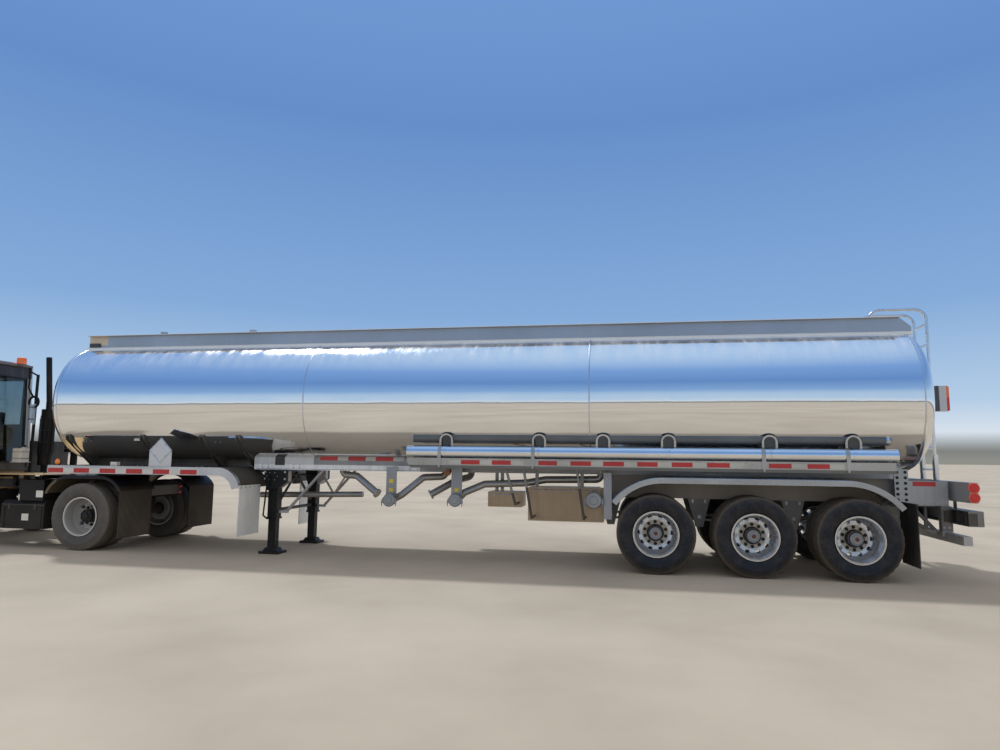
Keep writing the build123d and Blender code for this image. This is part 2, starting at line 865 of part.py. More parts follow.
def cabinets():
    """Polished boxes hung under the frame, stays in front of them, and the plate before the wheels."""
    pieces = []
    for front, rear, bottom, top, inner, outer in cabinet_table:
        box = block((front, rear), (-outer, -inner), (bottom, top))
        box = fillet(box.edges().filter_by(Axis.Y), 18)
        box += block((front + 40, rear - 40), (-outer - cabinet_panel, -outer), (bottom + 40, top - 40))
        box -= block(
            (axle_x[0] - hanger_setback - hanger_foot - 5, rear + 1),
            (-spring_spread - bogie_beam / 2 - 5, -inner + 1),
            (bottom - 1, top + 1),
        )
        for x in (front + 100, rear - 330):
            box += block((x, x + 50), (-outer + 40, -outer + 52), (top, frame_bottom))
        pieces.append(box)
    stay_y = -side_rail_y + side_rail_flange - 30
    for top_x, foot_x, foot_z in stays:
        stay = rod((top_x, stay_y, side_rail_bottom), (foot_x, stay_y + 40, foot_z), stay_radius)
        stay -= block((top_x - 100, top_x + 100), (stay_y - 50, stay_y + 50), (side_rail_bottom, tank_top))
        stay += rod((foot_x, stay_y + 40, foot_z), (foot_x, -cabinet_table[0][5] - cabinet_panel, foot_z), stay_radius)
        pieces.append(stay)
    front, rear, bottom, top = guard_plate
    plate = block((front, rear), (-guard_y, -guard_y + 8), (bottom, top))
    plate += block((front, rear), (-guard_y + 8, -frame_half_width), (frame_bottom, top))
    pieces.append(plate)
    return pieces


def running_gear():
    """Three axle beams with curved leaf springs, equalisers, hangers and brake chambers."""
    whole = None
    seat_top = tyre_radius + spring_seat_height
    for x in axle_x:
        reach = half_width - twin_spacing - 290
        beam = rod((x, -reach, tyre_radius), (x, reach, tyre_radius), beam_radius)
        whole = beam if whole is None else whole + beam
        spring_outline = make_face(
            [
                ThreePointArc((x - 560, seat_top + spring_rise), (x, seat_top), (x + 560, seat_top + spring_rise)),
                Line((x + 560, seat_top + spring_rise), (x + 560, seat_top + spring_rise + 20)),
                Line((x + 560, seat_top + spring_rise + 20), (x + 400, seat_top + spring_rise + 22)),
                ThreePointArc(
                    (x + 400, seat_top + spring_rise + 22),
                    (x, seat_top + spring_thickness),
                    (x - 400, seat_top + spring_rise + 22),
                ),
                Line((x - 400, seat_top + spring_rise + 22), (x - 560, seat_top + spring_rise + 20)),
                Line((x - 560, seat_top + spring_rise + 20), (x - 560, seat_top + spring_rise)),
            ]
        )
        spring = side_sheet(spring_outline, spring_spread - spring_width / 2, spring_spread + spring_width / 2)
        for piece in both_sides(spring):
            whole += piece
        for side in (1, -1):
            whole += rod(
                (x, side * 640, tyre_radius),
                (x, side * (outer_tyre_y - hub_bore_end - 2), tyre_radius),
                spindle_radius,
            )
            whole += block(
                (x - 70, x + 70),
                (side * spring_spread - 45, side * spring_spread + 45),
                (tyre_radius, seat_top + spring_thickness / 2),
            )
            whole += block(
                (x - 60, x + 60),
                (side * spring_spread - 50, side * spring_spread + 50),
                (seat_top + spring_thickness - 4, seat_top + spring_thickness + 18),
            )
            chamber_x = x + beam_radius + 60
            whole += rod(
                (chamber_x, side * chamber_y, tyre_radius - 20),
                (chamber_x + 170, side * chamber_y, tyre_radius - 20),
                chamber_radius,
            )
            whole += block(
                (x, chamber_x + 10), (side * chamber_y - 20, side * chamber_y + 20), (tyre_radius - 40, tyre_radius)
            )
    hangers = [
        axle_x[0] - hanger_setback,
        axle_x[0] + axle_spacing / 2,
        axle_x[1] + axle_spacing / 2,
        axle_x[2] + hanger_setback,
    ]
    for x in hangers:
        box = make_face(
            Polyline(
                (x - hanger_foot, bogie_bottom),
                (x + hanger_foot, bogie_bottom),
                (x + 70, seat_top + 40),
                (x + 50, seat_top - 40),
                (x - 50, seat_top - 40),
                (x - 70, seat_top + 40),
                close=True,
            )
        )
        hanger = side_sheet(box, spring_spread - bogie_beam / 2, spring_spread + bogie_beam / 2)
        for piece in both_sides(hanger):
            whole += piece
    return whole


def rear_bumpers():
    """Lamp beam, upper and lower bumper bars, and the trusses that join them to the frame."""
    low_z, high_z = cross_beam
    lamp_beam = block((cross_x, cross_x + 95), (-cross_half, cross_half), (low_z, high_z))
    lamp_beam -= block((cross_x + 8, cross_x + 96), (-cross_half + 8, cross_half - 8), (low_z + 8, high_z - 8))
    upper_x = cross_x - 55
    upper = block((upper_x, upper_x + 170), (-bumper_half, bumper_half), upper_bumper)
    upper -= block(
        (upper_x - 1, upper_x + 162), (-bumper_half + 8, bumper_half - 8), (upper_bumper[0] + 8, upper_bumper[1] - 8)
    )
    for y in (-1130, -frame_half_width, frame_half_width, 1130):
        upper += block((upper_x + 10, upper_x + 165), (y - 5, y + 5), (upper_bumper[0] + 4, upper_bumper[1] - 4))
    lower_x = cross_x - 125
    lower = block((lower_x, lower_x + 100), (-bumper_half, bumper_half), lower_bumper)
    whole = lamp_beam + upper + lower
    post_x = cross_x - 150
    truss_x = frame_rear + 150
    for side in (1, -1):
        y = side * frame_half_width
        whole += block((post_x, post_x + 130), (y - 45, y + 45), (lower_bumper[0] + 60, tail_plate[0] - seat_gap))
        whole += block((upper_x + 90, cross_x + 40), (y - 45, y + 45), (upper_bumper[1] - 4, low_z + 4))
        y = side * bogie_spread
        base = bogie_bottom - seat_gap
        for start, end in (
            ((truss_x, y, base - 20), (post_x + 60, y, lower_bumper[0] + 60)),
            ((truss_x, y, base - 20), (truss_x, y, 720)),
            ((truss_x, y, 720), (post_x + 60, y, lower_bumper[0] + 50)),
            ((truss_x + 180, y, 640), (truss_x + 180, y, base - 10)),
            ((truss_x - 20, y, base - 24), (post_x + 80, y, base - 24)),
        ):
            whole += rod(start, end, 24)
        whole += block(
            (post_x + 20, post_x + 90), (min(y, side * frame_half_width), max(y, side * frame_half_width)), lower_bumper
        )
    return whole


def lamps():
    """Tail lamp pairs on the lamp beam's ends, high rear lamps on the ladder, and side markers."""
    pieces = []
    low_z, high_z = cross_beam
    high_lamp_x = ladder_x + ladder_bar + seat_gap
    for side in (1, -1):
        for z in (low_z + 65, high_z - 65):
            end = side * cross_half
            pieces.append(rod((cross_x + 47, end, z), (cross_x + 47, end + side * 22, z), round_lamp_radius))
        y = side * (ladder_half_width + 35)
        pieces.append(
            block((high_lamp_x, rear_reach), (y - 55, y + 55), high_lamp)
            + block((high_lamp_x, rear_reach - 20), (y - 65, y + 65), (high_lamp[0] - 10, high_lamp[1] + 10))
        )
        y = side * (rail_spread + seat_gap / 2)
        front = tank_front - rail_reach_front + 20
        pieces.append(
            block((front, front + 190), (y, side * (rail_spread + 26)), (rail_top - 200, rail_top - 130))
        )
    return pieces


def placards():
    """Blank diamond placards on plates that stand on the front fenders."""
    y = half_width - 40
    plate = block((placard_x - 190, placard_x + 190), (-y, -y + 6), (deck_top, placard_z - 20))
    diamond = Pos(placard_x, -y, placard_z) * Rot(0, 45, 0) * Box(placard_side, 12, placard_side)
    return both_sides(plate + diamond)


def tyre_ring(middle_y):
    """One tyre, turned about the Y axis."""
    half = tyre_width / 2
    bead = rim_half_width - 20
    edges = [
        Line((bead_radius, -bead), (bead_radius, bead)),
        Line((bead_radius, bead), (rim_flange_radius + 2, bead)),
        ThreePointArc((rim_flange_radius + 2, bead), (tyre_radius - 110, half), (tyre_radius - 16, half - 26)),
        Line((tyre_radius - 16, half - 26), (tyre_radius, half - 48)),
        Line((tyre_radius, half - 48), (tyre_radius, -half + 48)),
        Line((tyre_radius, -half + 48), (tyre_radius - 16, -half + 26)),
        ThreePointArc((tyre_radius - 16, -half + 26), (tyre_radius - 110, -half), (rim_flange_radius + 2, -bead)),
        Line((rim_flange_radius + 2, -bead), (bead_radius, -bead)),
    ]
    return Pos(0, middle_y, 0) * revolve(make_face(edges), axis=Axis.Y)


def turned(points, middle_y=0):
    """A solid turned about the Y axis from points of radius and width."""
    return Pos(0, middle_y, 0) * revolve(make_face(Polyline(*points, close=True)), axis=Axis.Y)


def rim(middle_y, facing, holes, hole_radius):
    """A rim with a dished disc. The disc's pad lies towards +Y of the rim when facing is 1."""
    flange = rim_flange_radius
    inner = bead_radius - 14
    half = rim_half_width
    points = [
        (bead_radius - seat_gap, -half + 12),
        (flange, -half + 6),
        (flange, -half),
        (inner + 8, -half),
        (inner, -half + 14),
        (inner, half - 60),
        (222, half + 24),
        (170, disc_offset - 22),
        (hub_radius, disc_offset - 22),
        (hub_radius, disc_offset - seat_gap),
        (176, disc_offset - seat_gap),
        (240, half + 36),
        (inner, half - 14),
        (inner + 8, half),
        (flange, half),
        (flange, half - 6),
        (bead_radius - seat_gap, half - 12),
    ]
    body = turned(points)
    for turn in range(holes):
        angle = 2 * math.pi * turn / holes
        centre = (hand_hole_circle * math.cos(angle), 0, hand_hole_circle * math.sin(angle))
        body -= rod(centre, (centre[0], half + 80, centre[2]), hole_radius)
    if facing < 0:
        body = mirror(body, about=Plane.XZ)
    return Pos(0, middle_y, 0) * body


def twin_wheel(holes, hole_radius):
    """Two rims back to back on one hub with its drum, outboard side towards -Y, outer rim on y = 0."""
    outer = rim(0, 1, holes, hole_radius)
    inner = rim(twin_spacing, -1, holes, hole_radius)
    hub = turned(
        [
            (spindle_radius + seat_gap, hub_bore_end),
            (spindle_radius + seat_gap, twin_spacing + 100),
            (beam_radius + 40, twin_spacing + 100),
            (drum_radius, twin_spacing + 80),
            (drum_radius, disc_offset + 24),
            (hub_radius + 60, disc_offset + 24),
            (hub_radius, disc_offset + 24),
            (hub_radius, disc_offset - 30),
            (92, disc_offset - 130),
            (60, disc_offset - 150),
            (0, disc_offset - 150),
            (0, hub_bore_end),
        ]
    )
    return outer + inner + hub


def steer_wheel():
    """One rim with its disc outboard, towards -Y, and its hub. The rim is on y = 0."""
    disc = rim(0, -1, 5, 30)
    hub = turned(
        [
            (0, -disc_offset - 60),
            (70, -disc_offset - 60),
            (hub_radius, -disc_offset - 40),
            (hub_radius, -disc_offset + 40),
            (drum_radius - 20, -60),
            (drum_radius - 20, 70),
            (60, 70),
            (spindle_radius + seat_gap, 70),
            (spindle_radius + seat_gap, -disc_offset - 40),
            (0, -disc_offset - 40),
        ]
    )
    return disc + hub


def tractor_frame():
    """Two channel rails with cross members, cab and hood sills, and a rounded front bumper."""
    top = chassis_bottom + chassis_height
    rail = block(
        (-chassis_front, chassis_rear), (-chassis_half_width, -chassis_half_width + chassis_wall), (chassis_bottom, top)
    )
    for z in (chassis_bottom, top - chassis_wall):
        rail += block(
            (-chassis_front, chassis_rear),
            (-chassis_half_width, -chassis_half_width + chassis_flange),
            (z, z + chassis_wall),
        )
    whole = rail + mirror(rail, about=Plane.XZ)
    for x in cross_member_x:
        whole += block(
            (x, x + 80),
            (-chassis_half_width + chassis_wall, chassis_half_width - chassis_wall),
            (chassis_bottom + 40, top - 40),
        )
    bumper = block((-front_reach, -chassis_front + 100), (-bumper_reach, bumper_reach), bumper_rise)
    bumper = fillet(bumper.edges().filter_by(Axis.Z).sort_by(Axis.X)[:2], 90)
    wall = 25
    core = block(
        (-front_reach + wall, -chassis_front + 101),
        (-bumper_reach + wall, bumper_reach - wall),
        (bumper_rise[0] + wall, bumper_rise[1] - wall),
    )
    bumper -= fillet(core.edges().filter_by(Axis.Z).sort_by(Axis.X)[:2], 65)
    for side in (1, -1):
        lamp_y = side * 860
        bumper -= rod((-front_reach - 1, lamp_y, 790), (-front_reach + wall + 1, lamp_y, 790), 62)
    bumper += block((-front_reach, -chassis_front), (-tow_ear_half_width, tow_ear_half_width), tow_ears)
    bumper -= block((-front_reach, -front_reach + 130), (-tow_ear_half_width, tow_ear_half_width), tow_gap)
    tow_x = -front_reach + tow_pin_inset
    bumper -= rod((tow_x, 0, tow_ears[0]), (tow_x, 0, tow_ears[1]), tow_pin_radius)
    bumper -= block(
        (-front_reach - 1, -front_reach + hood_setback),
        (-tow_ear_half_width, tow_ear_half_width),
        (tow_ears[1], bumper_rise[1] + 1),
    )
    for side in (1, -1):
        y = side * (chassis_half_width - chassis_flange / 2)
        bumper += block((-front_reach + wall - 1, -chassis_front + 1), (y - 30, y + 30), (chassis_bottom, top))
    whole += bumper
    for x in (-cab_front + 240, -cab_rear - 120):
        whole += block((x, x + 80), (-cab_left + 20, -cab_right - 20), (cab_sill, cab_floor))
        whole += block((x, x + 80), (-chassis_half_width, -cab_right - 20), (top, cab_sill))
    rail_edge = (chassis_half_width - chassis_flange, chassis_half_width)
    sill_front = -chassis_front - 40
    whole += block((sill_front, -cab_front - 60), (-rail_edge[1], -rail_edge[0]), (top, hood_bottom))
    whole += block((sill_front, -hood_rear - 50), rail_edge, (top, hood_bottom))
    return whole


fifth_wheel_top = coupler_height - seat_gap


def fifth_wheel():
    """A rounded plate with a V-shaped mouth, on a lifting boom with two rams."""
    height = 50
    plate = Pos(-20, 0, fifth_wheel_top - height / 2) * Cylinder(460, height)
    plate &= block((-420, 480), (-430, 430), (fifth_wheel_top - height, fifth_wheel_top))
    mouth = make_face(Polyline((-38, 0), (38, 0), (230, 520), (-230, 520), close=True))
    mouth = Rot(0, 0, -90) * extrude(mouth, amount=200)
    slot = rod((0, 0, fifth_wheel_top - 160), (0, 0, fifth_wheel_top), kingpin_collar_radius + seat_gap)
    plate -= Pos(0, 0, fifth_wheel_top - 120) * mouth
    plate -= slot
    base = chassis_bottom + chassis_height
    for side in (1, -1):
        plate += block((-170, 170), (side * 300 - 20, side * 300 + 20), (base + 40, fifth_wheel_top - height))
    boom = block((-900, -180), (-250, 250), (base, 1100))
    boom -= block((-860, -220), (-210, 210), (base - 1, 1060))
    stands = block(
        (-300, -180), (-chassis_half_width, chassis_half_width), (base, fifth_wheel_top - height)
    )
    for side in (1, -1):
        stands += rod((-780, side * 300, base), (-330, side * 300, base + 70), 38)
        stands += block((-345, -299), (side * 310 - 40, side * 310 + 40), (base, base + 110))
    return plate + boom + stands


def cab_side(inset=0):
    """Side view of the cab."""
    points = [
        (-cab_rear - inset, cab_floor + inset),
        (-cab_rear - cab_lean - inset, cab_roof - inset),
        (-cab_front + screen_rake + inset * 1.2, cab_roof - inset),
        (-cab_front + inset, screen_sill),
        (-cab_front + inset, cab_floor + inset),
    ]
    face = make_face(Polyline(*points, close=True))
    return fillet(face.vertices().sort_by(Axis.Y)[2:], 70 - inset / 2)


def cab_body(inset):
    """The cab's outline extruded over its width, with rounded roof edges and a roof just under the outline's top."""
    left, right = cab_left - inset, cab_right + inset
    body = side_sheet(cab_side(inset), right, left)
    across = Pos(-(left + right) / 2, (cab_floor + cab_roof) / 2 - roof_drop) * Rectangle(
        left - right, cab_roof - cab_floor - 2 * inset
    )
    across = fillet(across.vertices().sort_by(Axis.Y)[2:], cab_round - inset)
    return body & extrude(Plane.YZ.offset(-cab_front - 10) * across, amount=cab_front)


def door_barrel(low, high):
    """Part of the hinge's barrel, between two heights."""
    return rod((door_hinge_x, door_hinge_y, low), (door_hinge_x, door_hinge_y, high), 12)


def cab_shell():
    """Hollow cab with openings for the rear window, door, windscreen and right window."""
    shell = cab_body(0) - cab_body(cab_wall)
    shell -= block((-door_front, -door_rear), (-cab_left - 1, -cab_left + cab_wall + 1), (door_bottom, door_top))
    shell -= block((-cab_rear - 200, -cab_rear + 1), rear_window_y, rear_window_z)
    shell -= block((-cab_front - 1, -cab_front + screen_rake + 60), (-cab_left + 90, -cab_right - 90), screen_z)
    shell -= block(right_window_x, (-cab_right - 100, -cab_right + 1), right_window_z)
    # A raised frame round the rear window
    for y in (-cab_right - 34, rear_window_y[0] - 34):
        frame = side_sheet(cab_side(), -y - 34, -y) & block((-cab_rear - 260, 0), (-half_width, 0), (1230, 3030))
        post = Pos(26, 0, 0) * frame
        shell += post - cab_body(0)
    shell += block((-cab_rear - cab_lean - 10, -cab_rear - cab_lean + 60), (-cab_left + 130, -cab_right - 30), (3000, 3036))
    for z in door_hinge_z:
        for low in (z - 30 - seat_gap - 30, z + 30 + seat_gap):
            shell += door_barrel(low, low + 30)
            shell += block((-door_front - 60, -door_front), (-cab_left - 8, -cab_left), (low, low + 30))
    # Roof beacon on its bracket, and a mirror on an arm at each front post
    beacon_x = -cab_rear - cab_lean + beacon_radius - 20
    shell += block(
        (beacon_x - 110, beacon_x + 50), (beacon_y - 40, beacon_y + 40), (cab_roof - 70, cab_roof - 58)
    ) - cab_body(0)
    beacon = rod((beacon_x, beacon_y, cab_roof - 58), (beacon_x, beacon_y, cab_roof - 28), beacon_radius - 8)
    beacon += rod((beacon_x, beacon_y, cab_roof - 28), (beacon_x, beacon_y, cab_roof + 84), beacon_radius)
    shell += fillet(beacon.edges().sort_by(Axis.Z)[-1:], 18)
    for side_y, reach in ((-cab_left, -1), (-cab_right, 1)):
        root = (-cab_front + 40, side_y - reach * 4, 1890)
        tip = (-cab_front - 60, side_y + reach * 70, 2150)
        shell += rod(root, tip, 11)
        head = block(
            (tip[0] - 30, tip[0] + 30), (tip[1] - 75, tip[1] + 75), (tip[2] - 30, tip[2] + 300)
        )
        shell += fillet(head.edges().filter_by(Axis.X), 25)
    return shell


def pane(foot, head, across, rise):
    """A flat pane in x and z from foot to head, cut to an opening's low and high y and z."""
    run = Vector(head[0] - foot[0], head[1] - foot[1]).normalized() * pane_thickness
    points = [foot, head, (head[0] + run.Y, head[1] - run.X), (foot[0] + run.Y, foot[1] - run.X)]
    sheet = side_sheet(make_face(Polyline(*points, close=True)), -across[1], -across[0])
    return sheet & block((-front_reach, 0), across, rise)


def cab_glass():
    """Fixed panes of the cab: rear window, windscreen and right window."""
    rear, screen = [], []
    rear_rise = (rear_window_z[0] + seat_gap, rear_window_z[1] - seat_gap)
    screen_rise = (screen_z[0] + seat_gap, screen_z[1] - seat_gap)
    for z in (rear_rise[0] - pane_thickness, rear_rise[1] + pane_thickness):
        lean = cab_lean * (z - cab_floor) / (cab_roof - cab_floor)
        rear.append((-cab_rear - lean - pane_inset, z))
    for z in (screen_rise[1] + pane_thickness, screen_rise[0] - pane_thickness):
        rake = screen_rake * (z - screen_sill) / (cab_roof - screen_sill)
        screen.append((-cab_front + rake + pane_inset, z))
    across = (-cab_left + 90 + seat_gap, -cab_right - 90 - seat_gap)
    right = block(
        (right_window_x[0] + seat_gap, right_window_x[1] - seat_gap),
        (-cab_right - pane_inset - pane_thickness, -cab_right - pane_inset),
        (right_window_z[0] + seat_gap, right_window_z[1] - seat_gap),
    )
    window = (rear_window_y[0] + seat_gap, rear_window_y[1] - seat_gap)
    return [pane(*rear, window, rear_rise), pane(*screen, across, screen_rise), right]


def cab_door():
    """Side door with its window opening and handle."""
    door = block(
        (-door_front + swing_gap, -door_rear - swing_gap),
        (-cab_left, -cab_left + cab_wall),
        (door_bottom + swing_gap, door_top - swing_gap),
    )
    door -= block(door_window_x, (-cab_left - 1, -cab_left + cab_wall + 1), door_window_z)
    door -= block(
        (door_window_x[0], door_window_x[1]), (-cab_left - 1, -cab_left + 8), (door_bottom + 90, door_window_z[0] - 110)
    )
    handle_x = -door_rear - 130
    door += block((handle_x, handle_x + 24), (-cab_left - 34, -cab_left + 10), (1560, 1584))
    door += block((handle_x, handle_x + 24), (-cab_left - 34, -cab_left + 10), (1690, 1714))
    door += block((handle_x, handle_x + 24), (-cab_left - 44, -cab_left - 30), (1560, 1714))
    for z in door_hinge_z:
        door += door_barrel(z - 30, z + 30)
        door += block((-door_front + swing_gap, -door_front + 60), (-cab_left - 8, -cab_left), (z - 30, z + 30))
    return door


def door_glass():
    gap = seat_gap
    return block(
        (door_window_x[0] + gap, door_window_x[1] - gap),
        (-cab_left + pane_inset, -cab_left + pane_inset + pane_thickness),
        (door_window_z[0] + gap, door_window_z[1] - gap),
    )


def cab_interior():
    """Seat on its pedestal, and the dash with its steering wheel."""
    floor = cab_floor + cab_wall
    middle = -(cab_left + cab_right) / 2
    seat = block((seat_x - 190, seat_x + 190), (middle - 160, middle + 160), (floor, floor + 280))
    cushion = block((seat_x - 270, seat_x + 230), (middle - 250, middle + 250), (floor + 280, floor + 410))
    back = block((seat_x + 110, seat_x + 230), (middle - 235, middle + 235), (floor + 400, floor + 960))
    seat += fillet(cushion.edges(), 30) + fillet(back.edges(), 30)
    dash = block(
        (-cab_front + cab_wall, -cab_front + 320), (-cab_left + cab_wall, -cab_right - cab_wall), (floor, dash_top)
    )
    dash = chamfer(dash.edges().filter_by(Axis.Y).sort_by(Axis.Z)[-2:].sort_by(Axis.X)[-1:], 90)
    column_start = (-cab_front + 280, middle, dash_top - 80)
    column_end = (-cab_front + 430, middle, dash_top + 50)
    dash += rod(column_start, column_end, 22)
    run = Vector(*column_end) - Vector(*column_start)
    dash += Plane(origin=column_end, z_dir=run) * Torus(wheel_ring_radius, 15)
    dash += Plane(origin=column_end, z_dir=run) * Box(2 * wheel_ring_radius, 40, 14)
    return [seat, dash]


def hood():
    """Engine cover in front of the cab and on its right, with a slatted grille and lamp pockets."""
    nose = -front_reach + hood_setback
    outline = make_face(
        Polyline(
            (nose, hood_bottom),
            (nose, hood_top - 220),
            (nose + 120, hood_top - 90),
            (-cab_front - swing_gap, hood_top),
            (-cab_front - swing_gap, hood_bottom),
            close=True,
        )
    )
    outline = fillet(outline.vertices().group_by(Axis.X)[0].sort_by(Axis.Y)[-1:], 60)
    outline = fillet(outline.vertices().sort_by(Axis.Y)[-2:-1], 40)
    front = side_sheet(outline, -hood_half, hood_half)
    right = block((-cab_front - swing_gap - 1, -hood_rear), (-cab_right + swing_gap, hood_half), (hood_bottom, hood_top))
    cover = front + right
    cover -= block((nose + 50, -cab_front - 60), (-hood_half + 50, hood_half - 50), (hood_bottom - 1, hood_top - 270))
    cover -= block(
        (-cab_front - 61, -hood_rear - 50),
        (-cab_right + swing_gap + 50, hood_half - 50),
        (hood_bottom - 1, hood_top - 50),
    )
    cover -= block((nose - 1, nose + 51), (-grille_half, grille_half), grille_z)
    for step in range(1, grille_slats + 1):
        z = grille_z[0] + (grille_z[1] - grille_z[0]) * step / (grille_slats + 1)
        cover += block((nose + 12, nose + 36), (-grille_half, grille_half), (z - 6, z + 6))
    pieces = []
    for side in (1, -1):
        y = side * head_lamp_y
        cover -= rod((nose - 1, y, head_lamp_z), (nose + 30, y, head_lamp_z), head_lamp_radius + 6)
        pieces.append(rod((nose + 8, y, head_lamp_z), (nose + 30, y, head_lamp_z), head_lamp_radius))
    # Louvres in the right flank
    for step in range(5):
        x = -hood_rear - 260 - step * 90
        cover -= block((x, x + 40), (hood_half - 20, hood_half + 1), (hood_bottom + 130, hood_top - 150))
    return [cover] + pieces


def engine():
    """Plain block where the engine sits, with its two mounts on the frame."""
    top = chassis_bottom + chassis_height
    edge = chassis_half_width - chassis_flange
    front = -chassis_front + 105
    whole = block((front, -cab_front + 220), (-300, 300), (chassis_bottom, cab_sill - 10))
    whole += block((front, -cab_front - 80), (-300, 300), (chassis_bottom, 1400))
    for side in (1, -1):
        whole += block((front + 155, front + 275), (side * 300, side * edge), (top - chassis_wall, top))
    return whole


def tractor_fenders():
    """Fenders over the tractor's rear wheels with flaps behind, and deck plates that run forward."""
    front, rear, top, roll, front_angle, rear_angle = (
        rear_axle_x - 250, rear_axle_x + 330, tractor_deck, 420, 70, 60
    )
    sheet = 10
    outer = drive_fender_y
    band = fender_band(front, rear, top, roll, front_angle, rear_angle, sheet)
    fender = side_sheet(band, chassis_half_width, outer)
    lip = fender_band(front, rear, top, roll, front_angle, rear_angle, 45)
    fender += side_sheet(lip, outer - 6, outer)
    turn = math.radians(rear_angle)
    tip_x = rear + (roll - sheet) * math.sin(turn)
    tip_z = top - roll + (roll - sheet) * math.cos(turn)
    flap = block((tip_x - 3, tip_x + 9), (-outer, -chassis_half_width - 60), (200, tip_z))
    deck = block((-deck_plate_front, rear), (-outer, -chassis_half_width), (top, top + 8))
    chassis_top = chassis_bottom + chassis_height
    for x in (-deck_plate_front + 60, -620):
        deck += block((x, x + 60), (-chassis_half_width - 60, -chassis_half_width), (chassis_top - 70, top))
        deck += block((x, x + 10), (-outer + 40, -chassis_half_width - 59), (top - 60, top))
    return both_sides(fender) + both_sides(flap) + both_sides(deck)


def side_tanks():
    """Battery box and step box with its filler, and the fuel tank with its step, left of the frame."""
    inner = -chassis_half_width - seat_gap
    lower = block((-1300, -510), (-1180, inner), (300, 740))
    lower = chamfer(lower.edges().filter_by(Axis.X).sort_by(Axis.Z)[-2:].sort_by(Axis.Y)[:1], 60)
    lower += rod((-1060, -1060, 739), (-1060, -1075, 790), 46)
    lower += rod((-1060, -1075, 790), (-1060, -1080, 812), 58)
    lower += block((-1000, -550), (-1180, inner), (739, 925)) + block((-1000, -550), (-1180, inner - 65), (739, 1060))
    for x in (-1300 + 30, -590):
        lower += block((x, x + 40), (-1188, -1180), (320, 640))
    tank = block((-2150, -1400), (-1180, inner), (350, 900))
    tank = fillet(tank.edges().filter_by(Axis.X), 150)
    for x in (-2050, -1560):
        band = block((x, x + 50), (-1186, inner), (344, 906))
        tank += fillet(band.edges().filter_by(Axis.X), 154)
    step = block((-2150, -1380), (-1190, -760), (906, 920))
    for x in (-2140, -1400):
        step += block((x, x + 12), (-1000, inner), (860, 906))
    return [lower, tank + step]


def exhaust():
    """Upright muffler and stack behind the engine cover."""
    x, y = stack_x, stack_y
    base = chassis_bottom + chassis_height
    stack = rod((x, y, base + 260), (x, y, base + 1280), 110)
    stack += rod((x, y, base), (x, y, base + 261), 50)
    stack += rod((x, y, base + 1270), (x, y, base + 1420), 50)
    stack += rod((x, y, base + 1419), (x - 90, y, stack_top), 48)
    for z in (base + 420, base + 1120):
        stack += rod((x, y, z), (x, y, z + 40), 118)
    return stack


def air_rack():
    """Post behind the cab with the coiled air line, canister and washer bottle, and the air cleaner."""
    x, y = rack_x, rack_y
    base = chassis_bottom + chassis_height
    post = rod((x, y, base), (x, y, 2860), 24)
    foot = block((x - 60, x + 60), (-chassis_half_width + 5, y + 40), (base, base + 12))
    post += foot
    post += rod((x, y, 2840), (x, y - 180, 2900), 14)
    line = bent_bar(
        [(x, y - 170, 2900), (x + 20, y - 190, 2600), (x + 10, y - 90, 2480), (x, y, 2440)], line_radius, 40
    )
    ring = Plane((x, y - 40, 2370), z_dir=(0, 1, 0)) * Torus(95, line_radius + 4)
    post += line + ring
    canister = rod((x - 10, y - 60, canister_rise[0]), (x - 10, y - 60, canister_rise[1]), 42)
    canister = fillet(canister.edges().sort_by(Axis.Z)[-1:], 20)
    post += canister + block((x - 30, x + 10), (y - 60, y), (2080, 2120))
    bottle = block((x - 130, x + 70), (y - 270, y - 90), (1330, 1560))
    bottle = fillet(bottle.edges().filter_by(Axis.Z), 35)
    bottle += rod((x + 20, y - 180, 1550), (x + 20, y - 180, 1600), 30)
    shelf = block((x - 140, x + 80), (y - 280, y), (1318, 1330))
    post += shelf + bottle
    cleaner = rod((x, cleaner_y, tractor_deck + 8), (x, cleaner_y, 1500), 60)
    cleaner += rod((x, cleaner_y, 1499), (x, cleaner_y, 2250), 165)
    cleaner += rod((x, cleaner_y, 2249), (x, cleaner_y, 2380), 110)
    return [post, cleaner]


def front_axle():
    """Beam between the two steering pins."""
    beam = block((front_axle_x - 50, front_axle_x + 50), (-pin_spread + 60, pin_spread - 60), (tyre_radius - 110, tyre_radius - 10))
    for side in (1, -1):
        beam += rod((front_axle_x, side * pin_spread, tyre_radius - 60), (front_axle_x, side * pin_spread, tyre_radius + 60), 50)
        beam += block(
            (front_axle_x - 40, front_axle_x + 40),
            (side * (pin_spread - 80), side * (pin_spread - 20)),
            (tyre_radius - 60, tyre_radius),
        )
        beam += block(
            (front_axle_x - 60, front_axle_x + 60),
            (side * chassis_half_width - side * 10, side * chassis_half_width - side * 75),
            (tyre_radius - 10, chassis_bottom),
        )
    for side in (1, -1):
        beam -= rod(
            (front_axle_x, side * pin_spread, tyre_radius - 80),
            (front_axle_x, side * pin_spread, tyre_radius + 80),
            pin_radius + seat_gap,
        )
    return beam


def knuckle():
    """Yoke round the left steering pin, with the wheel's spindle."""
    y = -pin_spread
    yoke = block((front_axle_x - 45, front_axle_x + 45), (y - 110, y - 60), (tyre_radius - 110, tyre_radius + 110))
    for z in (tyre_radius - 110, tyre_radius + 61):
        yoke += block((front_axle_x - 45, front_axle_x + 45), (y - 60, y + 40), (z, z + 49))
    pin = rod((front_axle_x, y, tyre_radius - 90), (front_axle_x, y, tyre_radius + 90), pin_radius)
    spindle = rod((front_axle_x, y - 60, tyre_radius), (front_axle_x, y - 260, tyre_radius), spindle_radius)
    return yoke + pin + spindle


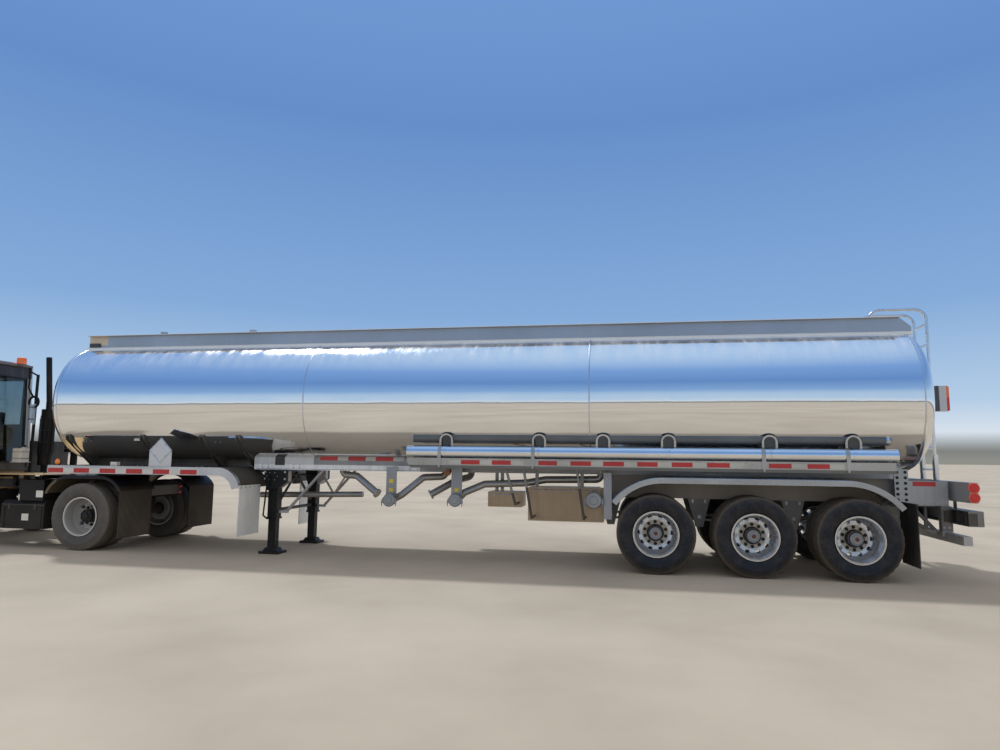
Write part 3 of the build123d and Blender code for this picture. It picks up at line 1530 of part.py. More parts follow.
def tractor_rear_axle():
    """Driven axle housing with its differential and blocks to the frame."""
    axle = rod((rear_axle_x, -620, tyre_radius), (rear_axle_x, 620, tyre_radius), 70)
    axle += Pos(rear_axle_x, 0, tyre_radius) * Sphere(210)
    axle += rod((rear_axle_x - 330, 0, tyre_radius), (rear_axle_x - 100, 0, tyre_radius), 95)
    for side in (1, -1):
        axle += rod(
            (rear_axle_x, side * 600, tyre_radius),
            (rear_axle_x, side * (drive_tyre_y - hub_bore_end - 2), tyre_radius),
            spindle_radius,
        )
        axle += block(
            (rear_axle_x - 80, rear_axle_x + 80),
            (side * chassis_half_width - side * 75, side * chassis_half_width),
            (tyre_radius, chassis_bottom),
        )
    return axle


def main():
    os.makedirs("parts", exist_ok=True)

    # Trailer body
    keep("tank_shell", shell_cut)
    keep("overturn_rails", overturn_rails())
    keep("manhole_necks", *[manhole_base(x) for _, x in manholes], *[vent(x) for x in vents])
    for name, x in manholes:
        keep(f"manhole_lid_{name}", manhole_lid(x))
    keep("rear_ladder", rear_ladder())
    keep("frame_rails", frame_rails())
    keep("coupler", coupler())
    keep("front_fenders", *front_fenders())
    keep("rear_fenders", *rear_fenders())
    keep("mudflaps", *mudflaps())
    keep("landing_legs", landing_legs())
    keep("hose_tubes_lower", *hose_tubes_lower())
    keep("hose_tubes_upper", *hose_tubes_upper())
    keep("side_rails", *side_rails())
    keep("outlet_pipes", *outlet_pipes())
    keep("outlet_adapters", *outlet_adapters())
    keep("cabinets", *cabinets())
    keep("running_gear", running_gear())
    keep("rear_bumpers", rear_bumpers())
    keep("lamps", *lamps())
    keep("placards", *placards())

    # Trailer wheels
    wheel = twin_wheel(10, 28)
    tyres = [tyre_ring(0), tyre_ring(twin_spacing)]
    for number, x in enumerate(axle_x, start=1):
        place = Pos(x, -outer_tyre_y, tyre_radius)
        left = place * wheel
        left_tyres = [place * tyre for tyre in tyres]
        keep(f"wheels_{number}_left", left)
        keep(f"tyres_{number}_left", *left_tyres)
        keep(f"wheels_{number}_right", mirror(left, about=Plane.XZ))
        keep(f"tyres_{number}_right", *[mirror(tyre, about=Plane.XZ) for tyre in left_tyres])

    # Tractor
    keep("tractor_frame", tractor_frame())
    keep("fifth_wheel", fifth_wheel())
    keep("cab_shell", cab_shell())
    keep("cab_glass", *cab_glass())
    keep("cab_door", cab_door())
    keep("door_glass", door_glass())
    keep("cab_interior", *cab_interior())
    keep("hood", *hood())
    keep("engine", engine())
    keep("tractor_fenders", *tractor_fenders())
    keep("side_tanks", *side_tanks())
    keep("exhaust", exhaust())
    keep("air_rack", *air_rack())
    keep("front_axle", front_axle())
    keep("tractor_rear_axle", tractor_rear_axle())
    left_knuckle = knuckle()
    keep("knuckle_left", left_knuckle)
    keep("knuckle_right", mirror(left_knuckle, about=Plane.XZ))
    place = Pos(rear_axle_x, -drive_tyre_y, tyre_radius)
    drive = place * twin_wheel(5, 30)
    drive_tyres = [place * tyre for tyre in tyres]
    keep("drive_wheels_left", drive)
    keep("drive_tyres_left", *drive_tyres)
    keep("drive_wheels_right", mirror(drive, about=Plane.XZ))
    keep("drive_tyres_right", *[mirror(tyre, about=Plane.XZ) for tyre in drive_tyres])
    place = Pos(front_axle_x, -steer_tyre_y, tyre_radius)
    steer = place * steer_wheel()
    steer_tyre = place * tyre_ring(0)
    keep("front_wheel_left", steer)
    keep("front_tyre_left", steer_tyre)
    keep("front_wheel_right", mirror(steer, about=Plane.XZ))
    keep("front_tyre_right", mirror(steer_tyre, about=Plane.XZ))


main()
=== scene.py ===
import math

import bmesh
import bpy
from mathutils import Matrix, Vector


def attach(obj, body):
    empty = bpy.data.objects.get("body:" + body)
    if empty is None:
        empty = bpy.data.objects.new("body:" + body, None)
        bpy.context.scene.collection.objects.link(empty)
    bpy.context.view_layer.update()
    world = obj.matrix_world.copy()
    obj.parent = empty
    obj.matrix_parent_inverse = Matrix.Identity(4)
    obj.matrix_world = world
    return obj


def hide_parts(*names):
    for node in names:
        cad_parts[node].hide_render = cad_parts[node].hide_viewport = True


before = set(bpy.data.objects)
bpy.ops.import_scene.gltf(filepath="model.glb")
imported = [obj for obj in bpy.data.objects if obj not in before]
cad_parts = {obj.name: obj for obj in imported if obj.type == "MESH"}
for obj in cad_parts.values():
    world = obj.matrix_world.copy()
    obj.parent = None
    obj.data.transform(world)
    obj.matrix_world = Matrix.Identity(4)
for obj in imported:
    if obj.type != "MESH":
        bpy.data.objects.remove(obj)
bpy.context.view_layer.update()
print("frame loaded")

# Places are measured from the kingpin, in metres: +x to the rear, -y to the left side, z up
kingpinX = -4.3995
tyreRadius = 0.515
twinAxles = (8.853, 10.096, 11.339)
twinRimY = 1.13
driveAxle, driveRimY = 0.15, 1.08
steerAxle, steerRimY = -2.8, 1.02


# Node helpers

floatSocket = "NodeSocketFloat"
colourSocket = "NodeSocketColor"
vectorSocket = "NodeSocketVector"


def addNode(tree, kind, inputs=None, **settings):
    node = tree.nodes.new(kind)
    for name, value in settings.items():
        setattr(node, name, value)
    for name, value in (inputs or {}).items():
        node.inputs[name].default_value = value
    return node


def join(tree, source, target):
    tree.links.new(source, target)


def feed(tree, value, socket):
    # A number or colour is set on the socket itself, and another node's output is linked to it
    if isinstance(value, bpy.types.NodeSocket):
        tree.links.new(value, socket)
    elif isinstance(value, tuple) and socket.type == "RGBA":
        socket.default_value = (*value, 1)
    else:
        socket.default_value = value


def newGroup(name, inputs, outputs):
    # inputs and outputs: name -> (socket kind, start value)
    tree = bpy.data.node_groups.new(name, "ShaderNodeTree")
    for side, sockets in (("INPUT", inputs), ("OUTPUT", outputs)):
        for label, (kind, value) in sockets.items():
            socket = tree.interface.new_socket(name=label, in_out=side, socket_type=kind)
            if value is not None:
                socket.default_value = value
    return tree, tree.nodes.new("NodeGroupInput"), tree.nodes.new("NodeGroupOutput")


def mathNode(tree, operation, first, second=None, third=None, clamp=False):
    node = addNode(tree, "ShaderNodeMath", operation=operation, use_clamp=clamp)
    for index, value in enumerate((first, second, third)):
        if value is not None:
            feed(tree, value, node.inputs[index])
    return node.outputs[0]


def mapRange(tree, value, fromMin, fromMax, toMin=0.0, toMax=1.0):
    node = addNode(tree, "ShaderNodeMapRange")
    join(tree, value, node.inputs["Value"])
    for name, number in (("From Min", fromMin), ("From Max", fromMax), ("To Min", toMin), ("To Max", toMax)):
        feed(tree, number, node.inputs[name])
    return node.outputs["Result"]


def mixColour(tree, factor, first, second):
    node = addNode(tree, "ShaderNodeMix", data_type="RGBA")
    for name, value in (("Factor", factor), ("A", first), ("B", second)):
        feed(tree, value, [socket for socket in node.inputs if socket.name == name and socket.enabled][0])
    return [socket for socket in node.outputs if socket.enabled][0]


def objectPlace(tree):
    return addNode(tree, "ShaderNodeTexCoord").outputs["Object"]


def splitOf(tree, vector):
    node = addNode(tree, "ShaderNodeSeparateXYZ")
    join(tree, vector, node.inputs[0])
    return node.outputs


def stretched(tree, stretch):
    # The object's own coordinates, stretched by axis
    node = addNode(tree, "ShaderNodeVectorMath", operation="MULTIPLY")
    join(tree, objectPlace(tree), node.inputs[0])
    feed(tree, stretch, node.inputs[1])
    return node.outputs[0]


def noiseOver(tree, vector, scale, detail=5.0, roughness=0.6):
    node = addNode(tree, "ShaderNodeTexNoise", {"Detail": detail, "Roughness": roughness})
    join(tree, vector, node.inputs["Vector"])
    feed(tree, scale, node.inputs["Scale"])
    return node.outputs["Fac"]


def spread(tree, scale, detail=5.0, stretch=(1.0, 1.0, 1.0), roughness=0.6):
    return noiseOver(tree, stretched(tree, stretch), scale, detail, roughness)


def addBump(tree, height, distance, strength=1.0, under=None):
    # A bump over a height, laid on another bump where one is given
    node = addNode(tree, "ShaderNodeBump", {"Strength": strength, "Distance": distance})
    join(tree, height, node.inputs["Height"])
    if under is not None:
        join(tree, under, node.inputs["Normal"])
    return node.outputs[0]


def rampOf(tree, value, stops, linear=False):
    # stops: (position, colour or number); each holds until the next unless linear
    ramp = addNode(tree, "ShaderNodeValToRGB")
    ramp.color_ramp.interpolation = "LINEAR" if linear else "CONSTANT"
    while len(ramp.color_ramp.elements) < len(stops):
        ramp.color_ramp.elements.new(0.5)
    for element, (position, colour) in zip(ramp.color_ramp.elements, stops):
        element.position = position
        element.color = (*colour, 1) if isinstance(colour, tuple) else (colour, colour, colour, 1)
    join(tree, value, ramp.inputs["Fac"])
    return ramp.outputs["Color"]


# Shared effects

def makeDustGroup():
    # Road dust that thickens towards the ground and lies in broad patches
    tree, start, end = newGroup(
        "roadDust",
        {"Colour": (colourSocket, (0.5, 0.5, 0.5, 1)), "Dust": (colourSocket, (0.36, 0.3, 0.23, 1)),
         "Top": (floatSocket, 1.2), "Amount": (floatSocket, 0.5), "Scale": (floatSocket, 2.5)},
        {"Colour": (colourSocket, None), "Mask": (floatSocket, None)},
    )
    given = start.outputs
    place = objectPlace(tree)
    height = mapRange(tree, splitOf(tree, place)["Z"], 0.0, given["Top"], 1.0, 0.0)
    patches = mapRange(tree, noiseOver(tree, place, given["Scale"], 8.0, 0.62), 0.3, 0.7, 0.3, 1.0)
    amount = mathNode(tree, "MULTIPLY", height, patches)
    mask = mathNode(tree, "MULTIPLY", amount, given["Amount"], clamp=True)
    join(tree, mixColour(tree, mask, given["Colour"], given["Dust"]), end.inputs["Colour"])
    join(tree, mask, end.inputs["Mask"])
    return tree


def makeGrainGroup():
    # Fine uneven grain: a value for roughness and a height for bump
    tree, start, end = newGroup(
        "fineGrain",
        {"Scale": (floatSocket, 60.0), "Low": (floatSocket, 0.2), "High": (floatSocket, 0.4),
         "Stretch": (vectorSocket, (1.0, 1.0, 1.0))},
        {"Rough": (floatSocket, None), "Height": (floatSocket, None)},
    )
    given = start.outputs
    noise = noiseOver(tree, stretched(tree, given["Stretch"]), given["Scale"], 6.0)
    join(tree, mapRange(tree, noise, 0.3, 0.7, given["Low"], given["High"]), end.inputs["Rough"])
    join(tree, noise, end.inputs["Height"])
    return tree


def makeStreakGroup():
    # Dirt that has run down in upright streaks
    tree, start, end = newGroup(
        "runStreaks",
        {"Scale": (floatSocket, 14.0), "Amount": (floatSocket, 0.4)},
        {"Mask": (floatSocket, None)},
    )
    given = start.outputs
    noise = noiseOver(tree, stretched(tree, (1.0, 1.0, 0.07)), given["Scale"], 7.0, 0.7)
    streaks = mapRange(tree, noise, 0.46, 0.72)
    join(tree, mathNode(tree, "MULTIPLY", streaks, given["Amount"], clamp=True), end.inputs["Mask"])
    return tree


def makeZoneGroup():
    # 1 inside a box between two corners, 0 outside it
    tree, start, end = newGroup(
        "boxZone",
        {"Low": (vectorSocket, (0.0, 0.0, 0.0)), "High": (vectorSocket, (1.0, 1.0, 1.0))},
        {"Mask": (floatSocket, None)},
    )
    place, low, high = (splitOf(tree, source) for source in
                        (objectPlace(tree), start.outputs["Low"], start.outputs["High"]))
    mask = None
    for axis in "XYZ":
        above = mathNode(tree, "GREATER_THAN", place[axis], low[axis])
        below = mathNode(tree, "LESS_THAN", place[axis], high[axis])
        both = mathNode(tree, "MULTIPLY", above, below)
        mask = both if mask is None else mathNode(tree, "MULTIPLY", mask, both)
    join(tree, mask, end.inputs["Mask"])
    return tree


def makeReachGroup():
    # How far a point lies from an axle's line, which runs along Y
    tree, start, end = newGroup(
        "axleReach", {"Centre": (vectorSocket, (0.0, 0.0, 0.0))}, {"Reach": (floatSocket, None)}
    )
    away = addNode(tree, "ShaderNodeVectorMath", operation="SUBTRACT")
    join(tree, objectPlace(tree), away.inputs[0])
    join(tree, start.outputs["Centre"], away.inputs[1])
    flat = addNode(tree, "ShaderNodeVectorMath", {1: (1.0, 0.0, 1.0)}, operation="MULTIPLY")
    join(tree, away.outputs[0], flat.inputs[0])
    length = addNode(tree, "ShaderNodeVectorMath", operation="LENGTH")
    join(tree, flat.outputs[0], length.inputs[0])
    join(tree, length.outputs["Value"], end.inputs["Reach"])
    return tree


def makeTapeGroup():
    # A band of red and white blocks along X: red for a share of each pitch, white in between
    tree, start, end = newGroup(
        "tapeBand",
        {"Start": (floatSocket, 0.0), "Pitch": (floatSocket, 0.46), "Share": (floatSocket, 0.6)},
        {"Red": (floatSocket, None)},
    )
    given = start.outputs
    along = mathNode(tree, "SUBTRACT", splitOf(tree, objectPlace(tree))["X"], given["Start"])
    steps = mathNode(tree, "FRACT", mathNode(tree, "DIVIDE", along, given["Pitch"]))
    join(tree, mathNode(tree, "LESS_THAN", steps, given["Share"]), end.inputs["Red"])
    return tree


dustGroup = makeDustGroup()
grainGroup = makeGrainGroup()
streakGroup = makeStreakGroup()
zoneGroup = makeZoneGroup()
reachGroup = makeReachGroup()
tapeGroup = makeTapeGroup()


def place(x, y, z):
    # A point measured from the kingpin, in the frame's own place
    return (x + kingpinX, y, z)


def newMaterial(name):
    material = bpy.data.materials.new(name)
    material.use_nodes = True
    tree = material.node_tree
    return material, tree, tree.nodes["Principled BSDF"].inputs


def useGroup(tree, group, values):
    node = addNode(tree, "ShaderNodeGroup", node_tree=group)
    for name, value in values.items():
        feed(tree, value, node.inputs[name])
    return node.outputs


def finishMaterial(name, values):
    # One finish: colour zones, streaks and dust over it, grain in the roughness, and a light bump
    material, tree, surface = newMaterial(name)
    surface["Specular IOR Level"].default_value = values.get("specular", 0.5)
    surface["Coat Weight"].default_value = values.get("coat", 0.0)
    metal = values.get("metallic", 0.0)
    surface["Metallic"].default_value = metal
    grain = useGroup(tree, grainGroup, {
        "Scale": values.get("grain", 60.0), "Low": values["rough"][0], "High": values["rough"][1],
        "Stretch": values.get("stretch", (1.0, 1.0, 1.0)),
    })
    rough = grain["Rough"]
    # Broad change of tone, so that no surface is one flat colour
    tone = noiseOver(tree, objectPlace(tree), values.get("toneScale", 1.7), 4.0, 0.5)
    depth = values.get("tone", 0.12)
    darker = tuple(channel * (1 - depth * 1.6) for channel in values["colour"])
    lighter = tuple(min(1.0, channel * (1 + depth)) for channel in values["colour"])
    colour = mixColour(tree, mapRange(tree, tone, 0.3, 0.7), darker, lighter)
    for low, high, zoneColour, zoneMetal, zoneRough in values.get("zones", ()):
        zone = useGroup(tree, zoneGroup, {"Low": place(*low), "High": place(*high)})["Mask"]
        colour = mixColour(tree, zone, colour, zoneColour)
        rough = mapRange(tree, zone, 0.0, 1.0, rough, zoneRough)
        metal = mapRange(tree, zone, 0.0, 1.0, metal, zoneMetal)
    for low, high, first in values.get("tapes", ()):
        band = useGroup(tree, zoneGroup, {"Low": place(*low), "High": place(*high)})["Mask"]
        red = useGroup(tree, tapeGroup, {"Start": first + kingpinX})["Red"]
        colour = mixColour(tree, band, colour, mixColour(tree, red, tapeWhite, tapeRed))
        metal = mapRange(tree, band, 0.0, 1.0, metal, 0.0)
    if values.get("streaks"):
        streaks = useGroup(tree, streakGroup, {"Amount": values["streaks"]})["Mask"]
        colour = mixColour(tree, streaks, colour, values.get("streakColour", (0.2, 0.16, 0.12)))
    dust = useGroup(tree, dustGroup, {
        "Colour": colour, "Dust": values.get("dustColour", (0.36, 0.3, 0.23)),
        "Top": values.get("dustTop", 1.2), "Amount": values.get("dust", 0.3),
    })
    join(tree, dust["Colour"], surface["Base Color"])
    join(tree, mathNode(tree, "MULTIPLY_ADD", dust["Mask"], 0.35, rough), surface["Roughness"])
    if metal != 0.0:
        join(tree, mapRange(tree, dust["Mask"], 0.0, 1.0, metal, 0.15), surface["Metallic"])
    if values.get("bump"):
        join(tree, addBump(tree, grain["Height"], 0.002, values["bump"]), surface["Normal"])
    return material


tapeWhite, tapeRed = (0.56, 0.57, 0.58), (0.42, 0.01, 0.016)


def onBothSides(low, high, *finish):
    # The same zone on the left side and on the right
    return [(low, high, *finish), ((low[0], -high[1], low[2]), (high[0], -low[1], high[2]), *finish)]


finishes = {
    "tubeAluminium": {
        "colour": (0.84, 0.85, 0.86), "metallic": 1.0, "rough": (0.1, 0.2), "grain": 5.0,
        "stretch": (0.2, 1.0, 1.0), "tone": 0.04, "dust": 0.15, "dustTop": 2.0,
    },
    "brightAluminium": {
        "colour": (0.78, 0.79, 0.8), "metallic": 1.0, "rough": (0.16, 0.3), "grain": 25.0, "dust": 0.25,
        "dustTop": 1.5,
    },
    "fenderAluminium": {
        "colour": (0.42, 0.44, 0.46), "metallic": 0.9, "rough": (0.16, 0.3), "grain": 30.0,
        "stretch": (0.15, 1.0, 1.0), "dust": 0.2, "dustTop": 1.4,
    },
    "railAluminium": {
        "colour": (0.44, 0.47, 0.51), "metallic": 0.85, "rough": (0.32, 0.44), "grain": 3.0, "tone": 0.08,
        "toneScale": 0.6, "dust": 0.0, "streaks": 0.12, "streakColour": (0.6, 0.62, 0.64),
        "zones": [
            ((-0.6, -0.7, 3.3), (-0.1, 0.7, 3.45), (0.6, 0.5, 0.38), 0.2, 0.4),
            # Painted highlights: the bright bands along the rail's lower and upper edges stand for light on those
            # edges
            ((-0.6, -0.7, 3.2), (12.5, 0.7, 3.258), (0.8, 0.81, 0.8), 0.35, 0.3),
            ((-0.6, -0.7, 3.452), (12.5, 0.7, 3.5), (0.78, 0.8, 0.82), 0.35, 0.3),
        ],
    },
    "greyAluminium": {
        "colour": (0.5, 0.51, 0.52), "metallic": 0.9, "rough": (0.28, 0.42), "grain": 30.0, "dust": 0.3,
        "dustTop": 1.8, "streaks": 0.2,
    },
    "frameAluminium": {
        "colour": (0.3, 0.31, 0.32), "metallic": 0.6, "rough": (0.35, 0.5), "grain": 25.0, "dust": 0.3,
        "dustTop": 1.7, "streaks": 0.25,
        "zones": [
            # Painted sky reflection: the bluish-white band along the frame's lower lip
            *onBothSides((2.7, -0.9, 1.26), (5.45, -0.5, 1.352), (0.76, 0.8, 0.87), 0.1, 0.35),
            ((2.7, -0.9, 1.352), (3.75, -0.5, 1.6), (0.55, 0.57, 0.6), 0.3, 0.35),
            ((8.0, -0.9, 0.9), (11.9, 0.9, 1.262), (0.3, 0.265, 0.228), 0.2, 0.45),
            *onBothSides((11.9, -0.9, 0.92), (12.64, -0.6, 1.42), (0.42, 0.43, 0.44), 0.6, 0.36),
        ],
    },
    "sideRailMetal": {
        "colour": (0.46, 0.45, 0.42), "metallic": 0.75, "rough": (0.22, 0.36), "grain": 18.0,
        "stretch": (0.2, 1.0, 1.0), "dust": 0.3, "dustTop": 1.8, "streaks": 0.2,
        "zones": [
            *onBothSides((5.3, -1.2, 1.65), (12.0, -0.9, 1.9), (0.05, 0.055, 0.06), 0.2, 0.45),
            *onBothSides((5.3, -1.3, 1.33), (12.2, -1.1, 1.38), (0.15, 0.15, 0.145), 0.5, 0.4),
        ],
    },
    "darkSteel": {
        "colour": (0.045, 0.045, 0.047), "specular": 0.22, "rough": (0.45, 0.7), "grain": 40.0,
        "bump": 0.25, "dust": 0.3, "dustTop": 1.6,
    },
    "bogieSteel": {
        "colour": (0.2, 0.215, 0.215), "rough": (0.5, 0.7), "grain": 30.0, "bump": 0.25, "tone": 0.25,
        "dust": 0.3, "dustTop": 1.5,
    },
    "couplerMetal": {
        "colour": (0.1, 0.1, 0.1), "metallic": 0.35, "rough": (0.35, 0.6), "grain": 30.0, "bump": 0.2,
        "tone": 0.3, "dust": 0.5, "dustTop": 2.2, "streaks": 0.3, "streakColour": (0.3, 0.25, 0.2),
    },
    "legPaint": {
        "colour": (0.008, 0.008, 0.009), "specular": 0.22, "rough": (0.35, 0.5), "grain": 30.0,
        "bump": 0.15, "dust": 0.05, "dustTop": 0.5,
        "zones": [
            *onBothSides((3.2, -0.72, 0.6), (4.2, -0.5, 1.5), (0.4, 0.4, 0.41), 0.7, 0.4),
            ((2.4, -0.55, 0.55), (4.2, 0.55, 1.12), (0.1, 0.1, 0.1), 0.4, 0.5),
        ],
    },
    "tubeGrey": {
        "colour": (0.1, 0.115, 0.13), "coat": 0.3, "rough": (0.25, 0.4), "grain": 8.0,
        "stretch": (0.1, 1.0, 1.0), "tone": 0.15, "dust": 0.15, "dustTop": 2.2,
    },
    "pipeMetal": {
        "colour": (0.42, 0.41, 0.4), "metallic": 0.85, "rough": (0.24, 0.42), "grain": 20.0, "dust": 0.4,
        "dustTop": 1.7, "streaks": 0.3, "streakColour": (0.25, 0.17, 0.1),
    },
    "adapterMetal": {
        "colour": (0.32, 0.34, 0.36), "metallic": 0.7, "rough": (0.3, 0.45), "grain": 30.0, "bump": 0.1,
        "dust": 0.35, "dustTop": 1.6,
    },
    "cabinetMetal": {
        "colour": (0.4, 0.3, 0.2), "metallic": 0.5, "rough": (0.28, 0.4), "grain": 55.0,
        "stretch": (1.0, 1.0, 0.04), "bump": 0.06, "dust": 0.1, "dustTop": 1.2, "streaks": 0.3,
        "streakColour": (0.24, 0.165, 0.1),
        "zones": [
            ((6.5, -1.3, 0.6), (8.16, -0.72, 1.4), (0.07, 0.062, 0.055), 0.3, 0.45),
            ((8.16, -1.3, 0.6), (8.4, -0.6, 1.4), (0.42, 0.43, 0.45), 0.6, 0.4),
            ((7.0, -1.3, 1.084), (8.16, 1.3, 1.4), (0.25, 0.25, 0.25), 0.5, 0.4),
            ((6.4, -1.3, 1.004), (7.0, 1.3, 1.4), (0.25, 0.25, 0.25), 0.5, 0.4),
        ],
    },
    "tanPaint": {
        "colour": (0.5, 0.3, 0.1), "coat": 0.2, "rough": (0.3, 0.45), "dust": 0.5, "dustTop": 1.6,
        "streaks": 0.3,
    },
    "frameTan": {
        "colour": (0.05, 0.048, 0.045), "rough": (0.4, 0.55), "dust": 0.6, "dustTop": 1.4,
        "zones": [
            ((-4.2, -1.3, 0.5), (-3.7, 1.3, 1.02), (0.5, 0.3, 0.1), 0.0, 0.38),
            ((-3.2, -1.2, 1.04), (-1.9, 0.0, 1.2), (0.42, 0.26, 0.1), 0.0, 0.4),
        ],
    },
    "cabPaint": {
        "colour": (0.5, 0.3, 0.1), "coat": 0.2, "rough": (0.3, 0.42), "dust": 0.35, "dustTop": 1.8,
        "streaks": 0.25,
        "zones": [
            ((-2.14, -1.12, 1.15), (-1.95, 0.0, 1.32), (0.07, 0.055, 0.042), 0.0, 0.5),
            ((-2.14, -0.155, 1.32), (-1.9, 0.0, 3.04), (0.5, 0.5, 0.49), 0.4, 0.35),
            # Painted shade: the dark band across the top of the cab's rear face, under the roof's edge
            ((-2.14, -1.02, 2.8), (-1.99, -0.08, 3.0), (0.02, 0.011, 0.012), 0.0, 0.3),
            ((-3.3, -1.2, 3.0), (-1.9, 0.0, 3.2), (0.13, 0.13, 0.135), 0.2, 0.4),
            ((-2.2, -0.42, 3.042), (-1.9, -0.24, 3.2), (0.9, 0.16, 0.02), 0.0, 0.2),
            ((-3.5, -1.3, 1.86), (-3.34, -1.1, 2.5), (0.012, 0.012, 0.013), 0.0, 0.35),
            ((-3.5, -0.04, 1.86), (-3.34, 0.3, 2.5), (0.012, 0.012, 0.013), 0.0, 0.35),
        ],
    },
    "hoodPaint": {
        "colour": (0.5, 0.3, 0.1), "coat": 0.2, "rough": (0.3, 0.42), "dust": 0.4, "dustTop": 1.7,
        "streaks": 0.2,
        "zones": [
            *onBothSides((-3.945, -0.85, 1.19), (-3.9, -0.67, 1.37), (0.75, 0.76, 0.77), 0.6, 0.12),
            ((-3.94, -0.43, 1.14), (-3.8, 0.43, 1.42), (0.02, 0.02, 0.02), 0.0, 0.5),
            ((-3.0, -1.3, 1.0), (-1.8, 1.3, 2.7), (0.014, 0.014, 0.015), 0.0, 0.45),
        ],
    },
    "fenderBlack": {
        "colour": (0.009, 0.01, 0.016), "specular": 0.22, "coat": 0.15, "rough": (0.3, 0.5), "dust": 0.12,
        "dustTop": 1.15, "dustColour": (0.2, 0.15, 0.1),
        "zones": [
            ((-2.0, -1.3, 1.135), (-0.52, 1.3, 1.16), (0.5, 0.34, 0.17), 0.0, 0.5),
            ((-0.6, -1.3, 0.2), (-0.3, 1.3, 1.1), (0.11, 0.085, 0.058), 0.0, 0.7),
            ((0.62, -1.3, 0.2), (1.0, 1.3, 0.98), (0.032, 0.025, 0.019), 0.0, 0.75),
        ],
    },
    "boxBlack": {
        "colour": (0.01, 0.01, 0.011), "specular": 0.22, "rough": (0.3, 0.5), "dust": 0.12, "dustTop": 1.1,
        "zones": [
            ((-1.14, -1.2, 0.742), (-0.98, -1.0, 0.83), (0.8, 0.81, 0.82), 1.0, 0.12),
            ((-2.2, -1.2, 0.9), (-1.38, -0.7, 0.93), (0.5, 0.34, 0.14), 0.0, 0.45),
        ],
    },
    "rackBlack": {
        "colour": (0.01, 0.01, 0.011), "specular": 0.22, "rough": (0.35, 0.55), "dust": 0.1, "dustTop": 1.6,
        "zones": [
            ((-1.95, -0.56, 1.32), (-1.65, -0.33, 1.58), (0.62, 0.6, 0.55), 0.0, 0.35),
            ((-1.82, -0.38, 1.98), (-1.72, -0.26, 2.34), (0.4, 0.48, 0.56), 0.3, 0.25),
        ],
    },
    "stackBlack": {
        "colour": (0.014, 0.014, 0.015), "metallic": 0.3, "specular": 0.22, "rough": (0.35, 0.6),
        "dust": 0.1, "dustTop": 1.8, "streaks": 0.4, "streakColour": (0.12, 0.07, 0.04),
    },
    "flapRubber": {
        "colour": (0.88, 0.9, 0.91), "rough": (0.45, 0.6), "dust": 0.2, "dustTop": 1.1, "streaks": 0.2,
        "zones": [
            ((8.0, -1.3, 0.2), (13.0, 1.3, 1.3), (0.014, 0.014, 0.015), 0.0, 0.7),
        ],
    },
    "cabPlastic": {
        "colour": (0.05, 0.05, 0.052), "rough": (0.5, 0.7), "grain": 150.0, "bump": 0.2, "dust": 0.1,
    },
    "lampRed": {
        "colour": (0.5, 0.012, 0.012), "coat": 0.6, "rough": (0.1, 0.2), "dust": 0.15,
        "zones": [
            ((12.6, -0.5, 2.1), (12.72, 0.5, 2.6), (0.05, 0.052, 0.055), 0.2, 0.4),
            ((12.72, -0.5, 2.1), (12.81, 0.5, 2.6), (0.5, 0.52, 0.54), 0.2, 0.3),
            ((12.81, -0.5, 2.38), (12.9, 0.5, 2.6), (0.75, 0.16, 0.03), 0.0, 0.15),
            ((-0.6, -0.8, 3.2), (-0.1, 0.8, 3.5), (0.03, 0.026, 0.024), 0.1, 0.3),
        ],
    },
    "plateMetal": {
        "colour": (0.42, 0.41, 0.41), "metallic": 0.5, "rough": (0.35, 0.5), "dust": 0.3,
        "zones": [
            *onBothSides((1.2, -1.3, 1.3), (1.8, -1.226, 1.8), (0.62, 0.63, 0.66), 0.6, 0.3),
        ],
    },
    "tapeRed": {
        "colour": (0.42, 0.01, 0.016), "coat": 0.3, "rough": (0.25, 0.4), "dust": 0.15, "dustTop": 2.0,
    },
    "tapeWhite": {
        "colour": (0.44, 0.45, 0.44), "coat": 0.3, "rough": (0.25, 0.4), "dust": 0.2, "dustTop": 2.0,
    },
    "weldBright": {
        "colour": (0.7, 0.71, 0.73), "metallic": 1.0, "rough": (0.25, 0.4), "grain": 120.0, "bump": 0.4,
        "dust": 0.0,
    },
    "boltSteel": {
        "colour": (0.5, 0.5, 0.5), "metallic": 0.9, "rough": (0.3, 0.45), "dust": 0.3, "dustTop": 1.7,
    },
    "darkNut": {"colour": (0.03, 0.028, 0.026), "metallic": 0.5, "rough": (0.35, 0.5), "dust": 0.0},
    "yellowTag": {"colour": (0.7, 0.55, 0.03), "rough": (0.35, 0.5), "dust": 0.3, "dustTop": 1.6},
    "amberLens": {
        "colour": (0.85, 0.24, 0.02), "coat": 0.6, "rough": (0.08, 0.2), "dust": 0.2, "dustTop": 1.8,
    },
    "redLens": {"colour": (0.6, 0.012, 0.01), "coat": 0.7, "rough": (0.08, 0.16), "dust": 0.1},
    "orangeBezel": {"colour": (0.72, 0.12, 0.06), "rough": (0.25, 0.35), "dust": 0.15},
    "blackRubber": {
        "colour": (0.015, 0.015, 0.016), "rough": (0.5, 0.75), "grain": 90.0, "bump": 0.2, "dust": 0.3,
        "dustTop": 1.6,
    },
    "brownFitting": {
        "colour": (0.4, 0.13, 0.05), "metallic": 0.3, "rough": (0.4, 0.6), "tone": 0.3, "dust": 0.3,
        "dustTop": 1.8,
    },
    "darkPlate": {"colour": (0.02, 0.022, 0.024), "rough": (0.3, 0.45), "dust": 0.2, "dustTop": 1.8},
    "deckAluminium": {
        "colour": (0.62, 0.63, 0.65), "metallic": 0.9, "rough": (0.22, 0.36), "grain": 25.0, "dust": 0.3,
        "dustTop": 1.8,
        "tapes": [
